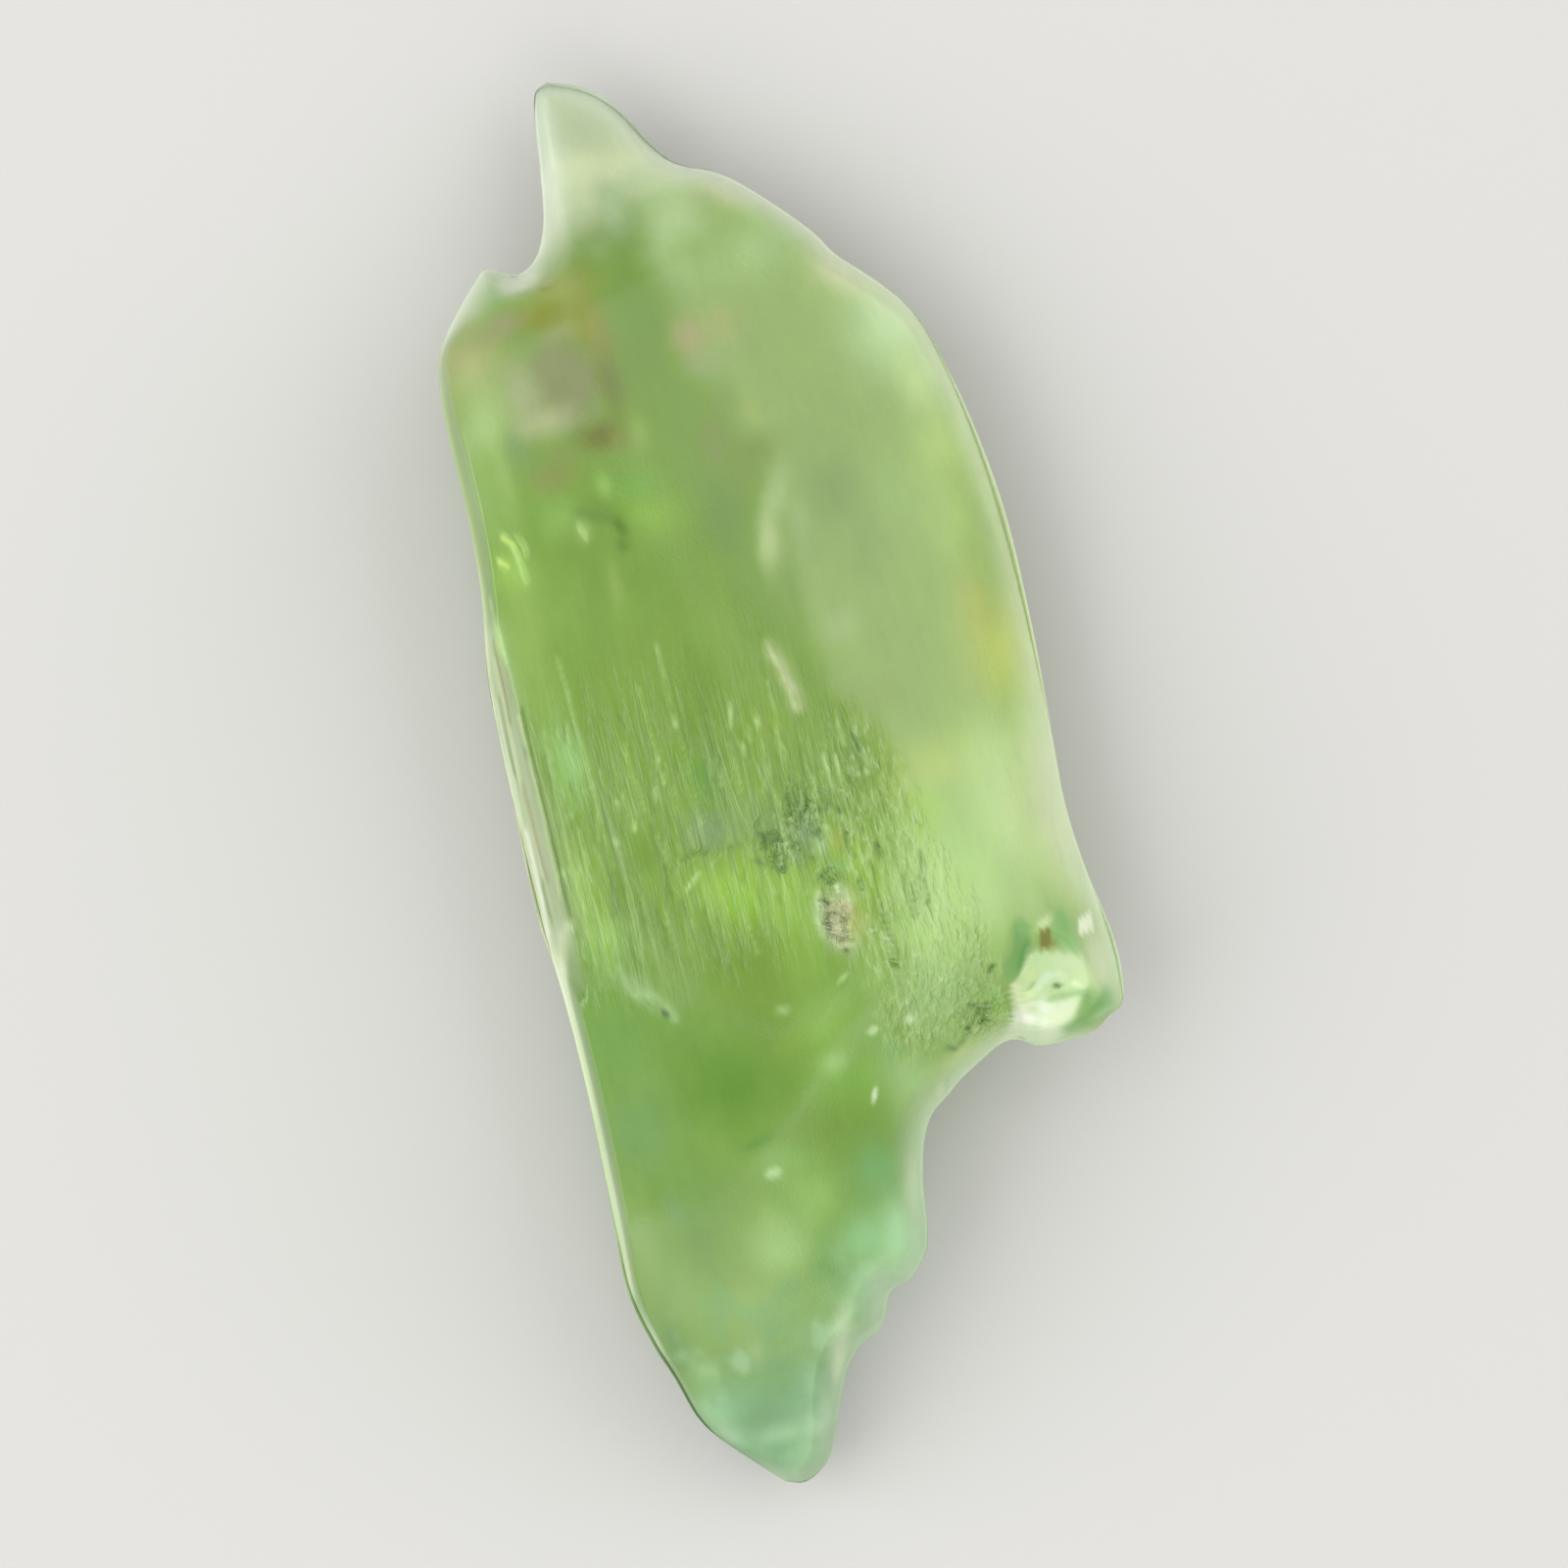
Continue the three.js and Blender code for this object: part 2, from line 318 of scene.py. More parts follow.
@dataclass(frozen=True)
class Facet:
    """A face of one plane, or of more that meet in inner corners and so keep it a local one."""

    planes: tuple[Plane, ...]
    blend: float = 1.2  # rounding of its edges

    def height(self, x: Array, y: Array, side: Side) -> Array:
        """The outermost of the facet's planes at each point.

        Args:
            x: places across.
            y: places along.
            side: the side of the crystal that it is on.

        Returns:
            Heights, shaped as x.
        """
        sign = -side.value
        heights = (sign * plane.height(x, y) for plane in self.planes)
        return sign * reduce(lambda a, b: soft_min(a, b, self.blend), heights)


@dataclass(frozen=True)
class Step:
    """A growth step: inside its outline the front drops to a plane."""

    outline: tuple[Point, ...]
    plane: Plane
    crisp: tuple[float, float, float]  # x, y and radius of where its edge is crisp
    fray: float = 0.16  # how far its edge wanders
    crisp_width: float = 0.24  # half-width of its edge where it is crisp
    soft_width: float = 0.84  # and well away from there
    softening: float = 1.6  # over which it goes from one to the other

    def share(self, x: Array, y: Array, noise: "Noise") -> Array:
        """How far each place is down the step: 0 above it and 1 below, rising over 0.5 to 1.7 mm.

        Args:
            x: places across.
            y: places along.
            noise: what makes the edge wander.

        Returns:
            Shares, shaped as x.
        """
        away = np.hypot(x - self.crisp[0], y - self.crisp[1])
        softened = smoothstep(away, self.crisp[2], self.crisp[2] + self.softening)
        width = self.crisp_width + (self.soft_width - self.crisp_width) * softened
        frayed = depth_in(self.outline, x, y) + self.fray * noise.layered(x * 1.3, y * 1.3)
        return smoothstep(frayed, -width, width)


@dataclass(frozen=True)
class Pit:
    """An etch pit, or with a negative depth a bump: a bell-shaped hollow."""

    at: Point
    size: Point
    depth: float
    turn: float = 0.0  # degrees anticlockwise
    square: float = 1.0  # 1 is a bell, larger is flatter floored with steeper walls

    def share(self, x: Array, y: Array) -> Array:
        """exp(-q ** square), q being the squared distance in units of the pit's half-sizes.

        Args:
            x: places across.
            y: places along.

        Returns:
            1 in the middle falling to 0 outside.
        """
        c, s = math.cos(math.radians(self.turn)), math.sin(math.radians(self.turn))
        dx, dy = x - self.at[0], y - self.at[1]
        u, v = (c * dx + s * dy) / self.size[0], (c * dy - s * dx) / self.size[1]
        return np.exp(-((u * u + v * v) ** self.square))


@dataclass(frozen=True)
class Patch:
    """A soft patch of colour in the crystal: a stain, veil, cloud, window or painted glint."""

    at: Point
    size: Point
    colour: str
    strength: float
    turn: float = 0.0
    square: float = 1.0
    cloud: float = 0.0  # how much clearness it takes away

    def share(self, x: Array, y: Array) -> Array:
        """The patch's strength at each point, with the shape of a Pit."""
        return self.strength * Pit(self.at, self.size, 1.0, self.turn, self.square).share(x, y)


def soft(*rows: tuple[float | str, ...]) -> tuple[Patch, ...]:
    """Soft patches of colour, in the order in which they lie over each other.

    Args:
        rows: x, y, half-width, half-length, colour, strength, and any of turn, square and cloud.

    Returns:
        The patches.
    """
    return tuple(Patch(row[:2], row[2:4], *row[4:]) for row in rows)


@dataclass(frozen=True)
class Pane:
    """A patch of colour with straight sides, such as a small broken face or a painted glint, its edges
    blurred over soft.
    """

    corners: tuple[Point, ...]
    colour: str
    strength: float
    soft: float = 0.1
    cloud: float = 0.0

    def share(self, x: Array, y: Array) -> Array:
        """The pane's strength at each point: full inside, 0 outside, a smoothstep across its edge.

        Args:
            x: places across.
            y: places along.

        Returns:
            Strengths, shaped as x.
        """
        close = near(np.array(self.corners, float), x, y, self.soft)
        result = np.zeros_like(x)
        depth = depth_in(self.corners, x[close], y[close])
        result[close] = self.strength * smoothstep(depth, -self.soft, self.soft)
        return result


@dataclass(frozen=True)
class Stroke:
    """A thin mark along a path: a growth line, scratch, groove or painted glint."""

    path: tuple[Point, ...]
    width: float
    colour: str
    strength: float
    depth: float = 0.0  # how deep it is cut, or with a negative depth how high it stands
    cloud: float = 0.0
    fading: float = 0.25  # how much a mark with relief wanes

    def bell(self, x: Array, y: Array) -> Array:
        """exp(-q * q), q being the distance to the path in units of its width.

        Args:
            x: places across.
            y: places along.

        Returns:
            1 on the path falling to 0 beside it.
        """
        path = np.array(self.path, float)
        close = near(path, x, y, 3 * self.width)
        result = np.zeros_like(x)
        result[close] = np.exp(-((distance_to(path, x[close], y[close]) / self.width) ** 2))
        return result

    def share(self, x: Array, y: Array) -> Array:
        """The mark's strength at each point; marks with relief wax and wane along their path."""
        fading = self.fading if self.depth else 0.0
        return self.strength * self.bell(x, y) * (1 - fading + fading * np.sin(9.0 * y + 5.0 * x))


def strokes(
    colour: str, strength: float, width: float, depth: float, paths: list[list[Point]],
) -> tuple[Stroke, ...]:
    """Marks that share a colour and width.

    Args:
        colour: their colour.
        strength: how strong the colour is.
        width: their half-width.
        depth: how deep they are cut, or with a negative depth how high they stand.
        paths: the marks' paths.

    Returns:
        The marks.
    """
    return tuple(Stroke(tuple(path), width, colour, strength, depth) for path in paths)


MARKS = (
    # the dark furrows where the broad face meets the etched ground, and the pale ribs between them
    *strokes("648648", 0.8, 0.06, 0.07, [
        [(-0.8, -2), (-0.78, -2.4), (-0.85, -2.85)], [(-0.55, -2.05), (-0.58, -2.5), (-0.65, -3.05)],
        [(0.15, -1.2), (0.12, -1.5)], [(0.42, -1.15), (0.38, -1.45), (0.32, -1.62)],
        [(0.2, -1.65), (0.12, -1.76)],
        [(0.03, -1.8), (0.25, -1.92)], [(-1.15, -1.7), (-1.02, -2.05), (-1.05, -2.4)],
        [(-0.15, -2.4), (-0.12, -3)],
        [(-1.1, -2.82), (-0.85, -3), (-0.6, -3.1)], [(0.28, -3.5), (0.4, -3.7), (0.55, -3.75)],
    ]),
    *strokes("688a4c", 0.75, 0.06, 0.06, [
        [(0.3, -2), (0.4, -2.35)], [(0.57, -2.1), (0.55, -2.45)], [(0.78, -1.15), (0.85, -1.42)],
        [(1.05, -1.2), (1, -1.6)], [(1.2, -1.8), (1.2, -1.97)], [(0.92, -1.6), (0.9, -1.78)],
        [(-0.58, -1.2), (-0.6, -1.45)], [(-0.12, -1), (-0.1, -1.6)], [(-0.95, -2.05), (-0.88, -2.25)],
        [(-1.42, -2.62), (-1.22, -2.76)], [(-0.72, -2.55), (-0.75, -2.9)], [(0.1, -2.75), (0.15, -3.05)],
        [(1.25, -2.45), (1.23, -2.9), (1.26, -3.22)], [(1.48, -2.5), (1.72, -2.52)],
        [(1.72, -0.95), (1.73, -1.25)],
        [(2, -3), (2.05, -3.4)], [(1.3, -3.85), (1.32, -4.2)], [(-0.35, -2.2), (-0.3, -2.6)],
        [(-1, -1.5), (-0.95, -1.75)], [(-0.3, -1.5), (-0.25, -2)],
        [(1.7, -4.6), (1.76, -5.4), (1.7, -6.4)],
        [(3.15, -3.4), (3, -4.9)], [(2.1, 0.2), (2.2, -0.4)], [(2.65, -4.4), (2.6, -5.2)],
        [(0.68, -1.6), (0.7, -1.75)], [(0.02, -2.5), (0.2, -2.6)],
    ]),
    *strokes("b2d490", 0.7, 0.055, -0.03, [
        [(0.33, -1.05), (0.2, -1.5), (0.3, -1.75), (0.25, -1.98)],
        [(-0.42, -1.7), (-0.45, -2.2), (-0.42, -2.5)],
        [(-0.68, -2.3), (-0.72, -2.95)], [(0.7, -2.1), (0.8, -2.38)], [(0.9, -1.78), (0.97, -1.88)],
        [(0, -2.08), (0, -2.35)], [(1.05, -2.02), (1.3, -2.05)], [(0.55, -1.08), (0.64, -1.2)],
        [(-1.2, -2.5), (-0.95, -2.75)], [(0.35, -3.05), (0.25, -3.35)], [(0.5, -1.55), (0.55, -1.9)],
        [(1.15, -0.2), (1.2, -0.9)], [(1.5, -0.3), (1.45, -1.1)], [(1.75, 0.6), (1.8, -0.1)],
    ]),
    # the striations of the broad face
    *strokes("77984a", 0.6, 0.07, 0.03, [
        [(-6.7, 2.4), (-6.68, 1.2)], [(-6.38, 1.55), (-6.35, 0.75)], [(-5.88, 0.65), (-5.82, 0.25)],
        [(-5.64, 2.25), (-5.7, 1.85)], [(-5.1, -0.55), (-5, -1.2), (-4.95, -1.75)],
        [(-5, -1.9), (-4.93, -2.4)],
        [(-4.05, 2.2), (-4, 1.8)], [(-3.8, 0.05), (-3.75, -0.65)], [(-6.7, -0.5), (-6.7, -1.5)],
        [(-6.72, -1.8), (-6.7, -2.95)], [(-1.6, 0.45), (-1.62, 0.25)], [(-1.9, -0.15), (-1.85, -0.5)],
        [(-1.95, -1.2), (-2.05, -2.1)], [(-0.8, 0.62), (-0.82, 0.15)], [(-1.12, 0.55), (-1.1, 0.15)],
        [(-3.1, -3.6), (-3.08, -5.6)], [(-2.8, -3.9), (-2.75, -5.8)], [(-4.4, -3.2), (-4.35, -4.6)],
        [(-2.4, -4.2), (-2.42, -5.4)], [(-4.85, -2.9), (-4.8, -3.9)], [(-3.6, -3.2), (-3.55, -4.4)],
        [(-5.6, -2.6), (-5.58, -3.2)], [(-3.95, -1), (-3.9, -1.9)], [(-2.9, 0.9), (-2.88, 0.2)],
        [(-6.15, 0.1), (-6.1, -0.6)], [(-4.75, 1), (-4.7, 0.2)], [(-5.5, -0.2), (-5.46, -0.9)],
    ]),
    *strokes("a0c66e", 0.65, 0.05, -0.03, [
        [(-5.36, 4.2), (-5.3, 3.2), (-5.3, 2), (-5.28, 0.4)], [(-5.27, -0.1), (-5.25, -1.85)],
        [(-4.13, 1.35), (-4.12, 0.45), (-4, -0.6)], [(-3.65, -1.5), (-3.7, -2.25)],
        [(-6.3, -1.7), (-6.3, -2.9)],
        [(-5.4, -0.45), (-5.45, -0.95)], [(-6.2, 2.3), (-6.2, 1.4)], [(-6.28, 1.5), (-6.22, 0.9)],
        [(-5.53, 2.25), (-5.6, 1.6)], [(-5.78, 2.3), (-5.85, 1.9)], [(-4.62, -2.3), (-4.65, -3.2)],
        [(-3.36, 2.8), (-3.33, 0.9)], [(-3.1, -0.15), (-3.15, -0.75)], [(-2.6, 3.9), (-2.62, 1.8)],
        [(-2.62, 1.8), (-2.55, -0.2), (-2.55, -1.35)], [(-1.78, 0.4), (-1.8, -0.5)],
        [(-1.3, 0.7), (-1.26, 0)],
        [(-1.26, 0), (-1.3, -0.75)], [(-0.65, 1.05), (-0.7, 0.6)],
        [(-0.38, 1.5), (-0.4, 0.8), (-0.42, -0.6)],
        [(-0.42, -0.6), (-0.4, -1.7)], [(0.12, 2.1), (0.14, 1.2), (0.08, 0.6)],
        [(0.08, 0.6), (0.15, 0.1), (0.1, -0.5)],
        [(-3.85, -1.3), (-3.78, -2)], [(-5.6, -1.2), (-5.5, -2.2)], [(-2.05, -4), (-1.95, -5.2)],
        [(-4.5, 0.1), (-4.42, -0.9)], [(-2.1, -1.6), (-2.15, -2.2)], [(-4.95, 0.9), (-4.9, 0.2)],
        [(-5.95, -0.7), (-5.9, -1.6)], [(-4.2, -3.3), (-4.1, -4.4)], [(-1.62, -3.8), (-1.55, -4.8)],
    ]),
    # pale raised lines and scratches; the two marks along the left edge from y 4.3 to 6.3 and the one at
    # (0.2, -6.4) are painted glints
    *strokes("b6dc8c", 0.8, 0.06, -0.04, [
        [(-3.33, 0.9), (-3.33, 0.62)], [(-3.3, 0.35), (-3.3, 0.1)], [(-2.62, 1.72), (-2.62, 1.5)],
        [(-1, 1.78), (-1.15, 1.15)], [(-0.38, 1.2), (-0.38, 1)], [(-0.95, 0.55), (-0.97, 0.35)],
        [(-5.06, -1.05), (-5, -1.28)], [(-3.45, -2.97), (-3.2, -2.76), (-3, -2.6)],
        [(-4.72, -0.1), (-4.7, -0.25)],
        [(-6.8, -1.68), (-6.4, -1.64)], [(-6.2, -0.24), (-5.98, -0.16)], [(-6.86, 6.3), (-6.82, 5)],
        [(-6.82, 5), (-6.76, 4.3)], [(2.1, -1), (2.25, -1)], [(0.1, -6.45), (0.28, -6.35)],
        [(3.05, -3.35), (3.2, -3.35)], [(1.3, -5.3), (1.35, -5.3)], [(-3.9, 7.6), (-3.75, 7.2)],
        [(-3.6, -0.05), (-3.62, -0.3)], [(-4.4, -0.85), (-4.4, -0.95)],
    ]),
    # the lip of the lower terrace
    *strokes("a6c684", 0.5, 0.12, 0, [
        [(-5.75, -4.6), (-5.7, -5.1), (-5.5, -5.45), (-5, -5.6)],
        [(-5, -5.6), (-4.75, -5.9), (-4.6, -6.35)],
    ]),
    # cracks along the broken edge
    *strokes("5a7b4c", 0.85, 0.07, 0.1, [
        [(2.55, -9.05), (2.75, -9.15)], [(2.95, -9.05), (3.25, -8.85), (3.3, -8.6)],
        [(3.65, -8.6), (3.88, -8.4), (3.95, -8.1)], [(3.5, -8.05), (3.72, -8.3)],
        [(2.22, -10.6), (2.28, -10.3), (2.36, -10.05)],
        [(4.2, -7.3), (4.35, -7.1)], [(-4.88, -6.08), (-4.8, -6.2)],
    ]),
    # the pale pit: white and pink fillings, and the dark gaps between them
    *strokes("c9e6aa", 0.9, 0.13, -0.04, [[(0.06, -4.1), (0, -4.4), (-0.05, -4.7), (-0.02, -5.05)]]),
    *strokes("d8f4c0", 0.9, 0.07, -0.05, [[(0.08, -4.2), (0.05, -4.35)], [(0.66, -3.82), (0.6, -4.02)]]),
    *strokes("c2de94", 0.85, 0.07, -0.03, [
        [(0.28, -4), (0.42, -4.18)], [(0.1, -3.8), (0.12, -3.95)], [(0.84, -4.3), (0.9, -4.45)],
    ]),
    *strokes("bcb892", 0.9, 0.1, -0.02, [
        [(0.32, -4.36), (0.6, -4.4), (0.85, -4.5)], [(0.75, -4.6), (0.7, -4.78)],
        [(0.5, -4.85), (0.55, -5.2), (0.5, -5.45)], [(0.3, -4.98), (0.3, -5.2)],
    ]),
    *strokes("c2cf9a", 0.85, 0.08, -0.02, [[(0.14, -5.25), (0.28, -5.5), (0.56, -5.5)]]),
    *strokes("b9ca7c", 0.85, 0.09, -0.02, [[(0.8, -4.68), (0.86, -4.9)], [(0.72, -5), (0.66, -5.5)]]),
    *strokes("6a7c4a", 0.85, 0.06, 0.08, [
        [(0.15, -4.1), (0.3, -4.27)], [(0.2, -4.55), (0.35, -4.6), (0.5, -4.62)],
        [(0.15, -4.7), (0.12, -5.12)],
        [(0.62, -4.75), (0.66, -4.95)], [(0.45, -5.66), (0.5, -5.78)],
    ]),
    *strokes("87956a", 0.75, 0.07, 0.04, [
        [(0.25, -5.2), (0.35, -5.38)], [(0.33, -4.85), (0.5, -4.86)], [(0.62, -5.1), (0.6, -5.35)],
    ]),
    # painted glints of the upper left: highlights painted on low raised ridges, and two dark smears beside
    # them
    *strokes("c8ef7a", 0.9, 0.07, -0.06, [[(-6, 7.8), (-5.8, 7.5), (-5.7, 7.1)],
        [(-6.25, 7.15), (-6.1, 6.95)]]),
    *strokes("a9d06c", 0.7, 0.08, -0.05, [[(-5.62, 7.7), (-5.48, 7.35), (-5.5, 7.1)],
        [(-5.7, 7), (-5.65, 6.4)]]),
    *strokes("688840", 0.7, 0.2, 0.02, [[(-2.82, 7.5), (-2.78, 7.1), (-2.82, 6.8)]]),
    *strokes("718f4c", 0.6, 0.3, 0.02, [[(-3.65, 8), (-3.4, 7.85), (-3.15, 7.75)]]),
    # the pink-cream streak right of the ridge
    *strokes("bccb94", 0.7, 0.22, -0.02, [[(0.42, 3), (0.55, 2.5), (0.72, 1.9), (0.8, 1.35)]]),
    *strokes("bcba90", 0.5, 0.07, -0.01, [[(0.62, 2.4), (0.78, 1.7)], [(0.84, 1.6), (0.86, 1.2)]]),
    *strokes("cde0a4", 0.6, 0.05, -0.01, [[(0.35, 3.2), (0.5, 2.6), (0.62, 2.1)],
        [(0.66, 1.7), (0.72, 1.2)]]),
)


@dataclass
class CrystalForm:
    """The crystal's shape as front and back heights over its outline."""

    rim_height: float = 3.2
    fin_rim_height: float = 2.3
    tail_rim_height: float = 1.5
    lower_slant: float = 0.72  # how far the growth sections drop for each millimetre across
    middle_slant: float = 1.0
    upper_slant: float = 0.15
    rim_radius: float = 0.3
    rim_flat: float = 0.08  # how far in from the outline the flank starts to rise
    left_steepness: float = 8.0
    right_steepness: float = 3.4
    left_rim_blend: float = 0.3  # rounding between the front's faces and the flank
    right_rim_blend: float = 1.1
    step_blend: float = 0.12
    pit_roughness: float = 0.35
    rib_height: float = 0.03
    etch_height: float = 0.06
    wave_height: float = 0.06
    back_wave_height: float = 0.03
    rows: int = 286  # the mesh's sections, and its points across the front and the back of each
    front_steps: int = 300
    back_steps: int = 44
    evenness: float = 0.7  # of the points across the front; the rest of their spacing is a cosine
    noise: Noise = field(default_factory=lambda: Noise(11))

    # lines on the front as (y, x) stops: where its left part ends, and where the etched ground does
    middle_line: tuple[Point, ...] = ((-20, -4.5), (-16, -4.2), (-10, -2), (14, -1.5))
    etch_limit: tuple[Point, ...] = ((-9, 4.6), (-5, 4.3), (0, 2.9), (2, 2.2))

    left_edge: tuple[Point, ...] = (
        (-4.95, -20.3), (-5.56, -19.66), (-6.52, -18.56), (-6.93, -17.85), (-7.28, -16.55), (-7.63, -15.45),
        (-7.95, -13.74), (-7.83, -11.53), (-7.68, -7.52), (-7.72, -4.41), (-7.85, -2.91), (-7.74, 0.8),
        (-7.58, 4.21), (-7.2, 6.52), (-7.04, 8.63), (-6.96, 12.24), (-6.69, 13.54), (-6.02, 14.49),
        (-5.21, 15.35), (-4.87, 15.63), (-4.55, 15.53), (-3.99, 15.25), (-3.39, 15.57), (-2.95, 16.4),
        (-2.65, 17.95), (-2.37, 19.86), (-2.2, 20.31), (-1.82, 20.46),
    )
    right_edge: tuple[Point, ...] = (
        (-4.95, -20.3), (-4.4, -20.46), (-3.74, -20.16), (-3.34, -19.61), (-2.68, -18.1), (-2.33, -17.45),
        (-1.92, -17), (-1.26, -16.67), (-1.01, -16.35), (-0.76, -15.8), (-0.51, -15.55), (0, -15.4),
        (0.61, -14.74), (0.81, -14.14), (1.01, -12.74), (1.36, -11.53), (1.72, -10.93), (2.33, -10.48),
        (2.73, -10.18), (3.54, -9.73), (4.04, -9.48), (4.45, -9.41), (4.77, -9.53), (5.05, -9.73),
        (5.56, -9.81), (6.82, -9.73), (7.28, -9.43), (7.74, -9.18), (7.97, -8.22), (7.97, -7.22),
        (7.68, -5.12), (7.56, -3.31), (7.68, -1.2), (7.87, 2.01), (7.91, 5.22), (7.68, 7.62),
        (7.33, 9.53), (6.93, 11.03), (6.42, 11.99), (5.56, 12.99), (5, 13.59), (4.55, 14.34),
        (3.54, 15.55), (2.53, 16.55), (1.97, 16.92), (1.52, 17.09), (1.01, 17.45), (0.63, 18),
        (0.1, 19.06), (-0.35, 19.66), (-0.91, 20.11), (-1.82, 20.46),
    )
    broad_face: Facet = Facet((Plane((-2, 0, 7.4), (-0.02, 0.006)),))
    front_facets: tuple[Facet, ...] = (
        Facet((Plane((-6.82, 0, 7.35), (4.4, 0)), Plane((-7.2, -3.35, 3), (1.5, -2.2))), 0.15),
        Facet((Plane((1, 11.5, 7.35), (-0.36, -0.04)),)),
        Facet((Plane((2.5, 0, 7.32), (-0.42, -0.17)),)),
        Facet((Plane((7, 3, 5.1), (-1.9, 0)),), 2.6),
        Facet((Plane((4.1, 12.6, 5.6), (-0.75, -0.85)),)),
        Facet((Plane((-1.5, 14.6, 7), (0.1, -1.7)), Plane((-1.5, 17, 3.2), (-0.1, -0.16))), 2.4),
        Facet((Plane((-4.6, 13.6, 6.4), (0.5, -0.95)), Plane((-3.4, 14, 6.3), (1.8, 0))), 2.0),
        Facet((Plane((-4.6, -16, 5), (0, 0.68)),), 2.4),
        Facet((
            Plane((-0.7, -12.5, 5.9), (-0.85, 0.3)),
            Plane((3.1, -9.6, 4.6), (-0.8, 1.4)),
            Plane((4.4, -9, 4.2), (2.2, 0)),
        ), 3.3),
        Facet((
            Plane((5.9, -8.3, 4.75), (-0.05, 0.35)),
            Plane((5.9, -7, 5.1), (0.15, 1.6)),
            Plane((4.7, -8, 4.9), (-4.2, 0.25)),
            Plane((5.15, -7.3, 5), (-1.7, 1.1)),
        ), 0.2),
    )
    back_facets: tuple[Facet, ...] = (
        Facet((Plane((-5.5, 0, 0), (-1.3, 0.01)),)),
        Facet((Plane((5, 0, 0), (1, 0.02)),)),
        Facet((Plane((-1.5, 12.8, 0), (0.02, 0.26)),), 0.5),
        Facet((Plane((3.6, 11.4, 0), (0.45, 0.46)),), 0.5),
        Facet((Plane((-4.5, -15.5, 0), (0.03, -0.2)),), 0.5),
        Facet((
            Plane((-0.9, -12.5, 0), (0.8, -0.2)),
            Plane((2.6, -9, 0), (0.6, -1.05)),
            Plane((4.6, -9, 1.5), (-1.2, 0)),
        ), 1.8),
        Facet((Plane((5.2, -7.4, 0), (0.35, -0.75)), Plane((3.4, -9.5, 0), (1.2, -0.3)))),
    )
    steps: tuple[Step, ...] = (
        Step(
            (
                (-9, -4.2), (-7, -4.5), (-5.7, -5), (-4.8, -6.2), (-3.4, -6.6), (-2, -7.7),
                (0.6, -8.1), (1.9, -9.2), (2.4, -11), (9, -24), (-9, -24),
            ),
            Plane((-4, -5, 7.3), (0.01, 0.025)),
            (-6.0, -4.8, 1.6),
        ),
        Step(
            (
                (-3.9, -2.2), (-2.6, -2.05), (-1.5, -2.15), (-1.2, -2.55), (-0.6, -3), (0.35, -3.1),
                (0.55, -4.2),
                (0.9, -5.6), (0.5, -6.8), (-0.8, -7.4), (-2, -7.7), (-3.4, -6.6), (-4.2, -6.3),
                (-4.4, -4.6),
            ),
            Plane((-2, -4, 7.18), (0, 0.03)),
            (-1.6, -2.4, 2.0),
        ),
    )
    pits: tuple[Pit, ...] = (
        Pit((0.4, -4.75), (0.45, 0.9), 0.22, 4, 1.3),
        Pit((0.3, -4.3), (0.22, 0.3), 0.12, 20, 1.5),
        Pit((0.6, -5.2), (0.2, 0.26), 0.12, -15, 1.5),
        Pit((-0.6, -2.2), (0.4, 0.75), 0.14, 0, 1.5),
        Pit((0.35, -1.6), (0.5, 0.95), 0.12, 0, 1.5),
        Pit((6.05, -8.12), (0.13, 0.2), 0.1, 15, 1.5),
    )

    def rim(self, y: Array) -> Array:
        """Height of the rim where front and back meet, lower at the two thin tips.

        Args:
            y: places along.

        Returns:
            Heights, shaped as y.
        """
        upper = smoothstep(y, 11, 20)
        lower = smoothstep(-y, 11, 20)
        tail_drop, fin_drop = self.rim_height - self.tail_rim_height, self.rim_height - self.fin_rim_height
        return self.rim_height - (fin_drop * upper + tail_drop * lower)

    def slant(self, level: Array) -> Array:
        """How far the section that crosses x = 0 at y = level drops for each millimetre of x.

        Args:
            level: sections' levels.

        Returns:
            Slants, shaped as level.
        """
        low, high = smoothstep(-level, 10, 20), smoothstep(level, 11.5, 18)
        slant = self.middle_slant + (self.lower_slant - self.middle_slant) * low
        return slant * (1 - high) + self.upper_slant * high

    def level_of(self, x: Array, y: Array) -> Array:
        """The level of the section through each point, found by halving the range that holds it.

        Args:
            x: places across.
            y: places along.

        Returns:
            Levels, shaped as x.
        """
        reach, halvings = 30.0, 40
        low, high = np.full_like(y, -reach), np.full_like(y, reach)
        for _ in range(halvings):
            middle = (low + high) / 2
            above = y - middle + self.slant(middle) * x > 0
            low, high = np.where(above, middle, low), np.where(above, high, middle)
        return low

    def leftness(self, x: Array, y: Array) -> Array:
        """1 along the straight left side, up to the notch, falling to 0 right of the middle line.

        Args:
            x: places across.
            y: places along.

        Returns:
            Shares, shaped as x.
        """
        middle = follow(self.middle_line, y)
        return smoothstep(x - middle, -0.2, -1.8) * smoothstep(y, 14.6, 13)

    def flank(self, x: Array, y: Array, depth: Array) -> Array:
        """Height above or below the rim, a distance in from it: a quarter circle, then a steep slope.

        Args:
            x: places across.
            y: places along.
            depth: distance in from the outline.

        Returns:
            Heights, shaped as depth.
        """
        bent = 1 - np.minimum(depth, self.rim_radius) / self.rim_radius
        more = self.left_steepness - self.right_steepness
        steepness = self.right_steepness + more * self.leftness(x, y)
        return self.rim_radius * np.sqrt(1 - bent * bent) + steepness * np.maximum(depth - self.rim_flat, 0)

